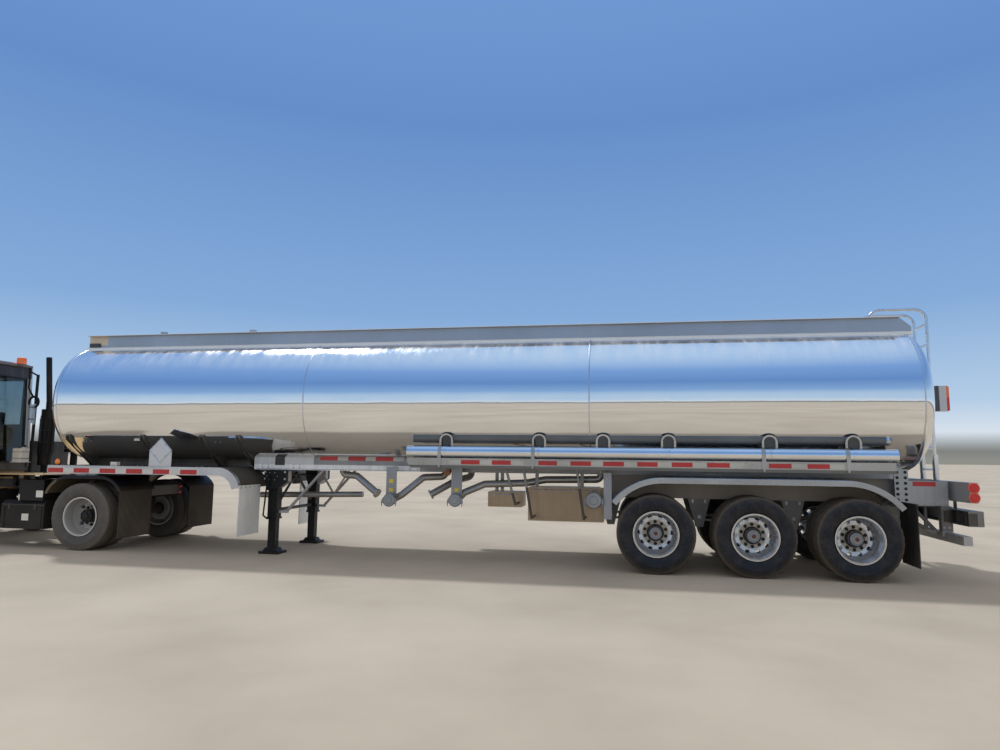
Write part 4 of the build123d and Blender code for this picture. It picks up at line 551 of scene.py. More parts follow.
            *onBothSides((-0.43, -1.3, 1.19), (2.17, -1.264, 1.26), -0.42),
        ],
        "zones": [
            # Painted shade: the deck's inner part under the tank is painted near black
            ((-0.7, -1.262, 1.15), (2.2, 1.262, 1.5), (0.05, 0.044, 0.037), 0.0, 0.75),
            ((2.1, -1.2, 0.8), (3.2, 1.2, 1.5), (0.05, 0.044, 0.037), 0.0, 0.75),
        ],
    },
    "bumperMetal": {
        "colour": (0.2, 0.2, 0.2), "metallic": 0.5, "rough": (0.35, 0.5), "grain": 30.0, "dust": 0.4,
        "dustTop": 1.5, "streaks": 0.25,
        "zones": [
            ((12.3, -1.3, 0.4), (12.7, 1.3, 0.61), (0.5, 0.5, 0.51), 0.7, 0.35),
            ((12.5, -1.3, 0.73), (12.67, 1.3, 0.88), (0.02, 0.02, 0.021), 0.0, 0.5),
            ((12.6, -1.3, 0.99), (12.8, 1.3, 1.26), (0.46, 0.47, 0.48), 0.7, 0.34),
        ],
    },
    "greasySteel": {
        "colour": (0.03, 0.027, 0.024), "metallic": 0.4, "rough": (0.18, 0.5), "grain": 14.0, "bump": 0.25,
        "tone": 0.3, "dust": 0.35, "dustTop": 1.8,
    },
    "engineGrey": {
        "colour": (0.09, 0.1, 0.11), "rough": (0.4, 0.6), "grain": 20.0, "bump": 0.2, "dust": 0.5,
    },
    "capGrey": {
        "colour": (0.3, 0.31, 0.32), "metallic": 0.4, "rough": (0.35, 0.5), "grain": 60.0, "dust": 0.3,
    },
    "hubWindowRed": {"colour": (0.1, 0.012, 0.018), "coat": 0.4, "rough": (0.12, 0.25), "dust": 0.04},
    "clampGrey": {
        "colour": (0.56, 0.54, 0.49), "metallic": 0.5, "rough": (0.3, 0.45), "grain": 30.0, "dust": 0.2,
        "dustTop": 2.2,
    },
    "mirrorGlass": {
        "colour": (0.85, 0.87, 0.88), "metallic": 1.0, "rough": (0.02, 0.06), "grain": 9.0, "dust": 0.0,
    },
    "chromeTrim": {
        "colour": (0.88, 0.89, 0.9), "metallic": 1.0, "rough": (0.05, 0.14), "grain": 20.0, "dust": 0.1,
    },
    "flapDark": {
        "colour": (0.05, 0.042, 0.034), "rough": (0.55, 0.75), "grain": 60.0, "bump": 0.2, "dust": 0.6,
    },
    "whitePlastic": {"colour": (0.7, 0.7, 0.68), "rough": (0.35, 0.5), "dust": 0.3, "dustTop": 1.7},
}

materials = {name: finishMaterial(name, values) for name, values in finishes.items()}
print("finishes made")


# Finishes with their own make-up

tankFinish = {
    "colour": (0.9, 0.905, 0.91), "hazeColour": (0.93, 0.94, 0.95), "dirtColour": (0.5, 0.44, 0.36),
    "rough": 0.035, "hazeRough": 0.32, "hazeFrom": 2.72, "hazeTo": 3.24, "waveDepth": 0.006, "ribDepth": 0.0016,
}


def makeTankFinish(name):
    values = tankFinish
    material, tree, surface = newMaterial(name)
    height = splitOf(tree, objectPlace(tree))["Z"]
    # Scratches and haze along the crown, dirt along the belly
    crown = mapRange(tree, height, values["hazeFrom"], values["hazeTo"])
    scratch = mapRange(tree, spread(tree, 7.0, 9.0, (1.0, 0.3, 0.3), 0.78), 0.42, 0.72, 0.12, 1.0)
    haze = mathNode(tree, "MULTIPLY", mathNode(tree, "MULTIPLY", crown, scratch), 0.9, clamp=True)
    join(tree, mathNode(tree, "MULTIPLY_ADD", haze, -0.62, 1.0), surface["Metallic"])
    belly = mapRange(tree, height, 1.75, 1.35)
    dirt = mathNode(tree, "MULTIPLY", mapRange(tree, spread(tree, 2.2, 7.0), 0.4, 0.65), 0.3)
    dirt = mathNode(tree, "MULTIPLY", belly, dirt, clamp=True)
    colour = mixColour(tree, haze, values["colour"], values["hazeColour"])
    join(tree, mixColour(tree, dirt, colour, values["dirtColour"]), surface["Base Color"])
    fine = spread(tree, 5.0, 6.0, (0.3, 1.0, 1.0))
    fine = mapRange(tree, fine, 0.35, 0.7, values["rough"], values["rough"] + 0.035)
    rough = mathNode(tree, "MULTIPLY_ADD", haze, values["hazeRough"], fine)
    join(tree, mathNode(tree, "MULTIPLY_ADD", dirt, 0.5, rough), surface["Roughness"])
    # The sheet isn't quite even: broad waves, and shallow dents
    waves = addBump(tree, spread(tree, 0.8, 2.0, (0.7, 1.0, 1.6), 0.45), values["waveDepth"])
    dents = addBump(tree, spread(tree, 3.2, 2.0, (1.0, 0.6, 0.6), 0.5), values["ribDepth"], under=waves)
    join(tree, dents, surface["Normal"])
    return material


wheelFinishes = {
    # each zone starts at a share of 0.3 m from the axle: share, colour, metallic, roughness
    "twin": (
        (0.0, (0.34, 0.35, 0.37), 0.6, 0.35), (0.2, (0.42, 0.42, 0.43), 0.7, 0.35),
        (0.318, (0.035, 0.035, 0.04), 0.2, 0.4), (0.362, (0.56, 0.5, 0.41), 0.55, 0.42),
        # Painted sky reflection: the bluish colours from 0.575 to 0.95 tint the polished disc and barrel over the
        # metal's own grey
        (0.575, (0.72, 0.77, 0.84), 0.8, 0.22), (0.87, (0.82, 0.84, 0.87), 0.9, 0.2),
        (0.95, (0.16, 0.17, 0.18), 0.7, 0.2), (0.966, (0.95, 0.96, 0.97), 1.0, 0.08),
    ),
    "drive": (
        (0.0, (0.012, 0.012, 0.013), 0.3, 0.4), (0.362, (0.3, 0.3, 0.29), 0.2, 0.5),
        (0.57, (0.44, 0.46, 0.47), 0.1, 0.45), (0.8, (0.38, 0.39, 0.4), 0.1, 0.5),
        (0.935, (0.6, 0.6, 0.58), 0.2, 0.4),
    ),
    "steer": (
        (0.0, (0.03, 0.03, 0.03), 0.3, 0.4), (0.2, (0.3, 0.3, 0.29), 0.2, 0.5),
        (0.57, (0.52, 0.53, 0.52), 0.1, 0.45), (0.935, (0.6, 0.6, 0.59), 0.2, 0.4),
    ),
}


def makeWheelFinish(name, kind, axle):
    material, tree, surface = newMaterial(name)
    reach = useGroup(tree, reachGroup, {"Centre": place(axle, 0.0, tyreRadius)})["Reach"]
    share = mathNode(tree, "DIVIDE", reach, 0.3)
    colour, metal, rough = (
        rampOf(tree, share, [(zone[0], zone[column]) for zone in wheelFinishes[kind]]) for column in (1, 2, 3)
    )
    dust = useGroup(tree, dustGroup, {"Colour": colour, "Dust": (0.32, 0.27, 0.2), "Top": 1.4, "Amount": 0.34,
                                      "Scale": 7.0})
    join(tree, dust["Colour"], surface["Base Color"])
    join(tree, mathNode(tree, "MULTIPLY_ADD", dust["Mask"], 0.4, rough), surface["Roughness"])
    clean = mapRange(tree, dust["Mask"], 0.0, 1.0, 1.0, 0.4)
    join(tree, mathNode(tree, "MULTIPLY", metal, clean), surface["Metallic"])
    return material


tyreFinishes = {
    # colours from the bead out to the tread, as shares of 0.52 m; dust and how much of it
    "tyreRubber": {
        "zones": ((0.0, (0.03, 0.027, 0.024)), (0.56, (0.014, 0.014, 0.015)), (0.62, (0.006, 0.007, 0.011)),
                  (0.84, (0.007, 0.008, 0.012)), (0.915, (0.024, 0.02, 0.017)), (0.95, (0.06, 0.047, 0.036)),
                  (0.985, (0.075, 0.06, 0.045))),
        "dust": (0.14, 0.115, 0.09), "amount": 0.22,
    },
    "dustyRubber": {
        "zones": ((0.0, (0.06, 0.055, 0.05)), (0.56, (0.065, 0.06, 0.056)), (0.84, (0.085, 0.08, 0.075)),
                  (0.985, (0.12, 0.105, 0.09))),
        "dust": (0.17, 0.15, 0.13), "amount": 0.4,
    },
}


def makeTyreFinish(name):
    values = tyreFinishes[name]
    material, tree, surface = newMaterial(name)
    share = mathNode(tree, "DIVIDE", useGroup(tree, reachGroup, {})["Reach"], 0.52)
    colour = rampOf(tree, share, values["zones"], linear=True)
    patches = mapRange(tree, spread(tree, 7.0, 8.0, roughness=0.7), 0.45, 0.75, 0.0, values["amount"])
    join(tree, mixColour(tree, patches, colour, values["dust"]), surface["Base Color"])
    join(tree, mapRange(tree, spread(tree, 40.0, 6.0), 0.3, 0.7, 0.5, 0.8), surface["Roughness"])
    join(tree, addBump(tree, spread(tree, 160.0, 4.0), 0.0015, 0.35), surface["Normal"])
    return material


def makeGlassFinish(name, colour, low, high):
    material, tree, surface = newMaterial(name)
    surface["Transmission Weight"].default_value = 1.0
    surface["IOR"].default_value = 1.45
    film = mapRange(tree, spread(tree, 3.0, 6.0), 0.4, 0.75)
    dusty = tuple(channel * 0.86 for channel in colour)
    join(tree, mixColour(tree, film, colour, dusty), surface["Base Color"])
    grain = useGroup(tree, grainGroup, {"Scale": 4.0, "Low": low, "High": high})
    join(tree, grain["Rough"], surface["Roughness"])
    return material


materials["tankMirror"] = makeTankFinish("tankMirror")
for name in tyreFinishes:
    materials[name] = makeTyreFinish(name)
for index, axle in enumerate(twinAxles):
    materials[f"twinWheel{index + 1}"] = makeWheelFinish(f"twinWheel{index + 1}", "twin", axle)
materials["driveWheel"] = makeWheelFinish("driveWheel", "drive", driveAxle)
materials["steerWheel"] = makeWheelFinish("steerWheel", "steer", steerAxle)
materials["cabGlass"] = makeGlassFinish("cabGlass", (0.4, 0.48, 0.5), 0.0, 0.05)
materials["clearLens"] = makeGlassFinish("clearLens", (0.95, 0.96, 0.96), 0.02, 0.08)
print("special finishes made")


# Mesh helpers. Each piece is drawn from the kingpin and moved to its place in the frame at the end

def addBox(bm, low, high):
    corners = [
        bm.verts.new((x, y, z)) for x in (low[0], high[0]) for y in (low[1], high[1]) for z in (low[2], high[2])
    ]
    for face in ((0, 1, 3, 2), (4, 6, 7, 5), (0, 4, 5, 1), (2, 3, 7, 6), (0, 2, 6, 4), (1, 5, 7, 3)):
        bm.faces.new([corners[index] for index in face])
    return corners


def acrossOf(axis):
    # Two directions at right angles to an axis
    axis = Vector(axis).normalized()
    helper = Vector((0, 0, 1)) if abs(axis.z) < 0.9 else Vector((1, 0, 0))
    first = axis.cross(helper).normalized()
    return axis, first, axis.cross(first)


def bridgeRings(bm, rings):
    count = len(rings[0])
    for here, there in zip(rings, rings[1:]):
        for step in range(count):
            after = (step + 1) % count
            bm.faces.new((here[step], here[after], there[after], there[step]))


def addTube(bm, start, end, radius, sides=20, endRadius=None, turn=0.0):
    # A round bar, or with few sides a nut, from one point to another
    start, end = Vector(start), Vector(end)
    first, second = acrossOf(end - start)[1:]
    rings = []
    for point, size in ((start, radius), (end, radius if endRadius is None else endRadius)):
        ring = []
        for step in range(sides):
            angle = turn + 2 * math.pi * step / sides
            ring.append(bm.verts.new(point + size * (math.cos(angle) * first + math.sin(angle) * second)))
        rings.append(ring)
    bridgeRings(bm, rings)
    bm.faces.new(rings[0])
    bm.faces.new(rings[1])


def addRevolve(bm, origin, axis, profile, segments=48, closed=False, shape=None):
    # profile: (radius, distance along the axis); shape may change a radius by ring and segment
    origin = Vector(origin)
    axis, first, second = acrossOf(axis)
    rings = []
    for index, (radius, along) in enumerate(profile):
        ring = []
        for step in range(segments):
            angle = 2 * math.pi * step / segments
            size = radius if shape is None else shape(index, step, radius)
            outward = math.cos(angle) * first + math.sin(angle) * second
            ring.append(bm.verts.new(origin + along * axis + size * outward))
        rings.append(ring)
    bridgeRings(bm, [*rings, rings[0]] if closed else rings)
    if not closed:
        for ring in (rings[0], rings[-1]):
            bm.faces.new(ring)


def addSweep(bm, points, radius, sides=10):
    # A round bar along points, with its rings turned halfway at each point
    points = [Vector(point) for point in points]
    rings = []
    side = None
    for index, point in enumerate(points):
        before, after = points[max(index - 1, 0)], points[min(index + 1, len(points) - 1)]
        run = (after - before).normalized()
        if side is None:
            side = acrossOf(run)[1]
        side = (side - run * side.dot(run)).normalized()
        other = run.cross(side)
        rings.append([
            bm.verts.new(point + radius * (math.cos(angle) * side + math.sin(angle) * other))
            for angle in (2 * math.pi * step / sides for step in range(sides))
        ])
    bridgeRings(bm, rings)
    bm.faces.new(rings[0])
    bm.faces.new(rings[-1])


def arcPoints(centre, radius, start, end, count, plane="xz"):
    points = []
    for step in range(count + 1):
        angle = start + (end - start) * step / count
        across, up = radius * math.cos(angle), radius * math.sin(angle)
        x, y, z = centre
        points.append((x + across, y, z + up) if plane == "xz" else (x, y + across, z + up))
    return points


def closeMesh(name, bm, finish, angle=35):
    # What is drawn becomes a mesh with its finish; edges sharper than the angle stay hard
    bmesh.ops.recalc_face_normals(bm, faces=bm.faces)
    mesh = bpy.data.meshes.new(name)
    bm.to_mesh(mesh)
    bm.free()
    mesh.shade_smooth()
    mesh.set_sharp_from_angle(angle=math.radians(angle))
    mesh.materials.append(materials[finish])
    return mesh


def finishMesh(name, bm, finish, angle, bevel):
    piece = bpy.data.objects.new(name, closeMesh(name, bm, finish, angle))
    bpy.context.collection.objects.link(piece)
    if bevel:
        softer = piece.modifiers.new("softEdge", "BEVEL")
        softer.width = bevel
        softer.segments = 2
        softer.limit_method = "ANGLE"
        softer.harden_normals = True
    return piece


def makePiece(name, draw, finish, body, replaced=(), angle=35, bevel=0.0, bothSides=False):
    bm = bmesh.new()
    draw(bm)
    if bothSides:
        copied = bmesh.ops.duplicate(bm, geom=bm.verts[:] + bm.edges[:] + bm.faces[:])
        for item in copied["geom"]:
            if isinstance(item, bmesh.types.BMVert):
                item.co.y = -item.co.y
    bmesh.ops.translate(bm, vec=(kingpinX, 0, 0), verts=bm.verts)
    piece = finishMesh(name, bm, finish, angle, bevel)
    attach(piece, body)
    if replaced:
        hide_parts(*replaced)
    return piece


# Tank skin, seams and welds

tankValues = {
    # width and height of each raised band
    "seamBand": (0.022, 0.0022), "rimBand": (0.02, 0.0025), "markBand": (0.035, 0.0006), "stations": 40,
    "front": -0.418, "rear": 12.191, "middle": 2.327, "frontDish": 0.415, "rearDish": 0.337,
    "crownRadius": 1.97, "cornerRadius": 0.912, "cornerY": 0.308, "cornerZ": 0.04217, "crownHalfAngle": 0.29534,
    "around": 240, "headRings": 26,
    "seams": (3.785, 7.988),
    "rims": (-0.418, 12.191),
    "faintMarks": (-0.05, 0.69, 1.71, 2.76, 3.51, 4.6, 5.75, 6.9, 8.13, 9.02, 10.26, 11.25),
}


def tankSection():
    # Points round the section as (y, z from the middle, outward y, outward z), evenly spaced
    values = tankValues
    crown, corner = values["crownRadius"], values["cornerRadius"]
    half = values["crownHalfAngle"]
    topZ = 1.0 - crown
    pieces = [("arc", (0.0, topZ), crown, math.pi / 2 - half, math.pi / 2 + half),
              ("arc", (-values["cornerY"], values["cornerZ"]), corner, math.pi / 2 + half, math.pi),
              ("line", (-1.22, values["cornerZ"]), (-1.22, -values["cornerZ"])),
              ("arc", (-values["cornerY"], -values["cornerZ"]), corner, math.pi, 1.5 * math.pi - half),
              ("arc", (0.0, -topZ), crown, 1.5 * math.pi - half, 1.5 * math.pi + half),
              ("arc", (values["cornerY"], -values["cornerZ"]), corner, 1.5 * math.pi + half, 2 * math.pi),
              ("line", (1.22, -values["cornerZ"]), (1.22, values["cornerZ"])),
              ("arc", (values["cornerY"], values["cornerZ"]), corner, 0.0, math.pi / 2 - half)]
    lengths = []
    for piece in pieces:
        if piece[0] == "arc":
            lengths.append(piece[2] * (piece[4] - piece[3]))
        else:
            lengths.append(math.dist(piece[1], piece[2]))
    total = sum(lengths)
    points = []
    for step in range(values["around"]):
        left = total * step / values["around"]
        for piece, length in zip(pieces, lengths):
            if left <= length:
                break
            left -= length
        if piece[0] == "arc":
            angle = piece[3] + left / piece[2]
            outY, outZ = math.cos(angle), math.sin(angle)
            points.append((piece[1][0] + piece[2] * outY, piece[1][1] + piece[2] * outZ, outY, outZ))
        else:
            share = left / length
            outY = 1.0 if piece[1][0] > 0 else -1.0
            points.append((piece[1][0], piece[1][1] + share * (piece[2][1] - piece[1][1]), outY, 0.0))
    return points


section = tankSection()


def addSectionRing(bm, x, share=1.0, raised=0.0):
    middle = tankValues["middle"]
    return [
        bm.verts.new((x, y * share + raised * outY, middle + z * share + raised * outZ))
        for y, z, outY, outZ in section
    ]


def drawTank(bm):
    values = tankValues
    rings = []
    steps = values["headRings"]
    for step in range(steps, 0, -1):
        angle = math.pi / 2 * step / steps * 0.995
        dished = values["front"] - values["frontDish"] * math.sin(angle)
        rings.append(addSectionRing(bm, dished, math.cos(angle)))
    stations = values["stations"]
    for step in range(stations + 1):
        rings.append(addSectionRing(bm, values["front"] + (values["rear"] - values["front"]) * step / stations))
    for step in range(1, steps + 1):
        angle = math.pi / 2 * step / steps * 0.995
        rings.append(addSectionRing(bm, values["rear"] + values["rearDish"] * math.sin(angle), math.cos(angle)))
    bridgeRings(bm, rings)
    bm.faces.new(rings[0])
    bm.faces.new(rings[-1])


def addBand(bm, x, width, height):
    profile = ((-0.5, -0.001), (-0.5, height * 0.4), (-0.3, height), (0.0, height * 1.1), (0.3, height),
               (0.5, height * 0.4), (0.5, -0.001))
    bridgeRings(bm, [addSectionRing(bm, x + share * width, 1.0, raised) for share, raised in profile])


def drawWelds(bm):
    for x in tankValues["seams"]:
        addBand(bm, x, *tankValues["seamBand"])
    for x in tankValues["rims"]:
        addBand(bm, x, *tankValues["rimBand"])


def drawFaintMarks(bm):
    for x in tankValues["faintMarks"]:
        addBand(bm, x, *tankValues["markBand"])


makePiece("tankSkin", drawTank, "tankMirror", "trailer", ("tank_shell",), angle=60)
makePiece("tankWelds", drawWelds, "weldBright", "trailer", angle=60)
makePiece("tankFaintSeams", drawFaintMarks, "tankMirror", "trailer", angle=60)
print("tank done")


# Tyres: a turned profile with grooves, and slots across the shoulders

tyreValues = {"segments": 144, "spacing": 0.336, "slotEvery": 4, "slotDepth": 0.007, "hardAngle": 38}
# (half width, radius, part of the shoulder); outer half from the middle of the tread down to the bead
tyreProfile = [
    (0.0, 0.515, 0), (0.018, 0.515, 0), (0.020, 0.503, 0), (0.030, 0.503, 0), (0.032, 0.5148, 0),
    (0.060, 0.5145, 0), (0.062, 0.503, 0), (0.073, 0.503, 0), (0.075, 0.5138, 0), (0.090, 0.5125, 1),
    (0.105, 0.5105, 1), (0.112, 0.506, 1), (0.1165, 0.496, 1), (0.1200, 0.484, 1), (0.1215, 0.4815, 0),
    (0.1290, 0.462, 0), (0.1360, 0.436, 0), (0.1385, 0.420, 0), (0.1395, 0.4165, 0), (0.1395, 0.4125, 0),
    (0.1385, 0.409, 0), (0.1370, 0.385, 0), (0.1305, 0.356, 0), (0.1275, 0.348, 0), (0.1278, 0.342, 0),
    (0.1215, 0.328, 0), (0.1130, 0.312, 0), (0.1085, 0.306, 0), (0.1030, 0.300, 0), (0.0985, 0.298, 0),
    (0.0980, 0.2862, 0),
]


def addTyre(bm, middle):
    values = tyreValues
    profile = [(radius, -half) for half, radius, flag in reversed(tyreProfile)]
    flags = [flag for half, radius, flag in reversed(tyreProfile)]
    profile += [(radius, half) for half, radius, flag in tyreProfile[1:]]
    flags += [flag for half, radius, flag in tyreProfile[1:]]

    def shoulder(index, step, radius):
        if flags[index] and step % values["slotEvery"] == 0:
            return radius - values["slotDepth"]
        return radius

    addRevolve(bm, (0, middle, 0), (0, 1, 0), profile, values["segments"], closed=True, shape=shoulder)


def makeTyreMesh(name, middles, finish):
    bm = bmesh.new()
    for middle in middles:
        addTyre(bm, middle)
    return closeMesh(name, bm, finish, tyreValues["hardAngle"])


def placeCopy(name, mesh, where, body, turned=False, replaced=()):
    piece = bpy.data.objects.new(name, mesh)
    bpy.context.collection.objects.link(piece)
    turn = Matrix.Rotation(math.pi, 4, "Z") if turned else Matrix.Identity(4)
    piece.matrix_world = Matrix.Translation(where) @ turn
    bpy.context.view_layer.update()
    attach(piece, body)
    if replaced:
        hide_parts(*replaced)
    return piece


twinMiddles = (-tyreValues["spacing"] / 2, tyreValues["spacing"] / 2)
twinMesh = makeTyreMesh("twinTyres", twinMiddles, "tyreRubber")
driveMesh = makeTyreMesh("driveTyres", twinMiddles, "dustyRubber")
singleMesh = makeTyreMesh("singleTyre", (0.0,), "dustyRubber")
wheelPlaces = []  # name, axle x, outer tyre's y, body, twin, side
for side, sign in (("left", -1), ("right", 1)):
    for index, axle in enumerate(twinAxles):
        label = f"{index + 1}_{side}"
        wheelPlaces.append((label, axle, twinRimY, f"twin_{label}", f"tyres_{label}", sign))
    wheelPlaces.append((f"drive_{side}", driveAxle, driveRimY, f"drive_{side}", f"drive_tyres_{side}", sign))
    middle = place(steerAxle, sign * steerRimY, tyreRadius)
    placeCopy(f"steerTyre_{side}", singleMesh, middle, f"front_{side}",
              replaced=(f"front_tyre_{side}",))
for label, axle, rimY, body, node, sign in wheelPlaces:
    middle = place(axle, sign * (rimY - tyreValues["spacing"] / 2), tyreRadius)
    mesh = driveMesh if label.startswith("drive") else twinMesh
    placeCopy(f"twinTyre_{label}", mesh, middle, body, replaced=(node,))
print("tyres done")


# Wheel trim, drawn with the outer rim's middle at the origin and the outside at -y

wheelTrims = {
    # turned: profile, sides, closed; nuts and bolts: circle, count, share of a step to the first, start, end,
    # radius; stem: points, radius, sides; cap: start, end, radius, sides
    "nuts": {"mesh": "wheelNuts", "finish": "darkNut", "nuts": (0.143, 10, 0.5, 0.146, 0.112, 0.0165)},
    "hubRing": {
        "mesh": "hubRing", "finish": "darkNut",
        "turned": (
            (((0.106, 0.1455), (0.1135, 0.1455), (0.1135, 0.128), (0.109, 0.124), (0.106, 0.128)), 48, True),
            (((0.080, 0.039), (0.0945, 0.039), (0.0955, 0.034), (0.0935, 0.029), (0.080, 0.029)), 48, True),
        ),
    },
    "hubCap": {
        "mesh": "hubCap", "finish": "capGrey",
        "turned": (
            (((0.061, 0.031), (0.0615, 0.0135), (0.057, 0.009), (0.045, 0.0085), (0.044, 0.012), (0.034, 0.012),
              (0.032, 0.0075), (0.026, 0.0075), (0.026, 0.0125)), 40, False),
        ),
        "bolts": (0.077, 8, 0.0, 0.0295, 0.0215, 0.0075),
    },
    "hubWindow": {
        "mesh": "hubWindow", "finish": "hubWindowRed",
        "turned": ((((0.0255, 0.0125), (0.0255, 0.008), (0.020, 0.0055), (0.006, 0.005)), 32, False),),
    },
    "valve": {
        "mesh": "valve", "finish": "boltSteel",
        "stem": ([(0.21, 0.10, 0.02), (0.214, 0.075, 0.02), (0.222, 0.045, 0.021), (0.235, 0.0, 0.022),
                  (0.238, -0.02, 0.022)], 0.0042, 8),
        "cap": ((0.238, -0.02, 0.022), (0.239, -0.034, 0.022), 0.0058, 10),
    },
    "driveHub": {
        "mesh": "driveHub", "finish": "darkNut",
        "turned": (
            (((0.1, 0.06), (0.1, 0.012), (0.094, 0.006), (0.055, 0.004), (0.05, -0.01), (0.03, -0.016)),
             40, False),
        ),
        "bolts": (0.078, 8, 0.5, 0.008, -0.012, 0.009),
    },
    "steerNuts": {"mesh": "steerNuts", "finish": "darkNut", "nuts": (0.143, 10, 0.5, -0.168, -0.2, 0.0165)},
}


def roundAxle(circle, count, first):
    angles = [2 * math.pi * (step + first) / count for step in range(count)]
    return [(circle * math.cos(angle), circle * math.sin(angle)) for angle in angles]


def makeTrim(trim):
    bm = bmesh.new()
    for profile, sides, closed in trim.get("turned", ()):
        addRevolve(bm, (0, 0, 0), (0, 1, 0), list(profile), sides, closed=closed)
    if "bolts" in trim:
        *ring, start, end, radius = trim["bolts"]
        for x, z in roundAxle(*ring):
            addTube(bm, (x, start, z), (x, end, z), radius, 6)
    if "nuts" in trim:
        # A washer, the nut on it and the stud's end
        *ring, start, end, radius = trim["nuts"]
        for x, z in roundAxle(*ring):
            top = (start + end * 3) / 4
            addTube(bm, (x, start, z), (x, start - 0.004, z), radius * 1.35, 16)
            addTube(bm, (x, start, z), (x, top, z), radius, 6)
            addTube(bm, (x, top, z), (x, end, z), radius * 0.55, 10)
    if "stem" in trim:
        addSweep(bm, *trim["stem"])
        addTube(bm, *trim["cap"])
    return closeMesh(trim["mesh"], bm, trim["finish"])


trims = {kind: makeTrim(trim) for kind, trim in wheelTrims.items()}
twinTrims, driveTrims = ("nuts", "hubRing", "hubCap", "hubWindow", "valve"), ("nuts", "driveHub", "valve")
for label, axle, rimY, body, node, sign in wheelPlaces:
    where = place(axle, sign * rimY, tyreRadius)
    for kind in driveTrims if label.startswith("drive") else twinTrims:
        placeCopy(f"{kind}_{label}", trims[kind], where, body, turned=sign > 0)
for side, sign in (("left", -1), ("right", 1)):
    where = place(steerAxle, sign * steerRimY, tyreRadius)
    placeCopy(f"steerNuts_{side}", trims["steerNuts"], where, f"front_{side}", turned=sign > 0)
print("wheel trim done")


# Details: each piece is one dictionary of its finish, its material slot and its shapes

leftward, upward, rearward, forward = (0, -1, 0), (0, 0, 1), (1, 0, 0), (-1, 0, 0)


def addBolt(bm, point, axis, radius=0.011, height=0.011, washer=True):
    point, axis = Vector(point), Vector(axis)
    if washer:
        addTube(bm, point - axis * 0.001, point + axis * 0.002, radius * 1.45, 14)
    addTube(bm, point, point + axis * height, radius, 6)


def addEdging(bm, corners, radius, sides=8):
    # A rubber strip round an opening; corners are points in order
    corners = [Vector(corner) for corner in corners]
    for here, there in zip(corners, corners[1:] + corners[:1]):
        run = (there - here).normalized() * radius * 0.7
        addTube(bm, here - run, there + run, radius, sides)


def addStrip(bm, rows):
    # A strip between four rows of points in order round its section, closed at both ends
    rows = [[bm.verts.new(point) for point in row] for row in rows]
    for here, there in zip(rows, rows[1:] + rows[:1]):
        for step in range(len(here) - 1):
            bm.faces.new((here[step], here[step + 1], there[step + 1], there[step]))
    for step in (0, -1):
        bm.faces.new([row[step] for row in rows])


def bandProfile(inner, outer, width, edge=0.002, start=0.0):
    # A clamp band's section: radius and distance along its axis
    return [(inner, start), (outer, start + edge), (outer, start + width - edge), (inner, start + width)]


def placesRound(count, radius, shift=0.0):
    # Places spread round a circle, turned by a share of one step
    turns = [2 * math.pi * (step + shift) / count for step in range(count)]
    return [(radius * math.cos(turn), radius * math.sin(turn)) for turn in turns]


# The shapes that a piece's dictionary may list, each with the arguments of the function beside it
shapeKinds = {"boxes": addBox, "rods": addTube, "turned": addRevolve, "bars": addSweep, "bolts": addBolt,
              "edgings": addEdging, "strips": addStrip}


def makeDetails(body, details):
    for name, values in details.items():
        def draw(bm, values=values):
            for kind, add in shapeKinds.items():
                for shape in values.get(kind, ()):
                    add(bm, *shape)
        makePiece(name, draw, values["finish"], values.get("body", body),
                  angle=values.get("angle", 35), bevel=values.get("bevel", 0.0),
                  bothSides=values.get("bothSides", False))


# Trailer: reflective tape, bolts and clamps

tapeValues = {
    "thick": 0.0008, "gap": 0.002,
    # face's y, low z, high z, red runs, white runs
    "faces": (
        (1.213, 1.395, 1.455,
         ((6.20, 6.47), (6.64, 6.91), (7.29, 7.55), (7.73, 8.01), (8.17, 8.45), (8.62, 8.89), (9.07, 9.34),
          (9.52, 9.81), (10.29, 10.57), (10.76, 11.03)),
         ((6.02, 6.20), (6.47, 6.64), (6.91, 7.09), (7.55, 7.73), (8.01, 8.17), (8.45, 8.62), (8.89, 9.07),
          (9.34, 9.52), (9.81, 9.99), (10.57, 10.76), (11.03, 11.2))),
        (0.700, 1.42, 1.48, ((3.85, 4.14), (4.31, 4.59), (4.75, 5.03)),
         ((4.14, 4.31), (4.59, 4.75), (5.03, 5.2))),
        (0.700, 1.18, 1.24, ((12.17, 12.45),), ()),
    ),
    "bumperX": 12.599, "bumperZ": (0.52, 0.57), "bumperPitch": 0.215, "bumperHalf": 0.105,
}


def tapeBoxes(red):
    values = tapeValues
    boxes = []
    for y, low, high, reds, whites in values["faces"]:
        for start, end in (reds if red else whites):
            near, far = start + values["gap"], end - values["gap"]
            boxes.append(((near, -y - values["thick"], low), (far, -y + 0.001, high)))
    # Across the back of the lower bumper
    x, half = values["bumperX"], values["bumperHalf"]
    for step in range(-5, 6):
        if (step % 2 == 0) == red:
            middle = step * values["bumperPitch"]
            under, over = values["bumperZ"]
            boxes.append(((x, middle - half, under), (x + 0.0018, middle + half, over)))
    return boxes


clampValues = {
    "places": (5.96, 7.29, 8.17, 9.04, 10.33, 11.35),
    "archZ": 1.731, "archInner": 0.073, "archOuter": 0.097, "archY": -1.123, "archThick": 0.007,
    "legOut": 0.085,
    "tubeY": -1.125, "tubeZ": 1.564, "strapInner": 0.0925, "strapOuter": 0.0955, "strapHalf": 0.02,
    "strapFrom": 58, "strapTo": 222,
}


def archRows(x):
    values = clampValues
    inner, outer, face = values["archInner"], values["archOuter"], values["archY"]
    back = face - values["archThick"]
    return [arcPoints((x, y, values["archZ"]), radius, 0.0, math.pi, 20)
            for radius, y in ((inner, face), (outer, face), (outer, back), (inner, back))]


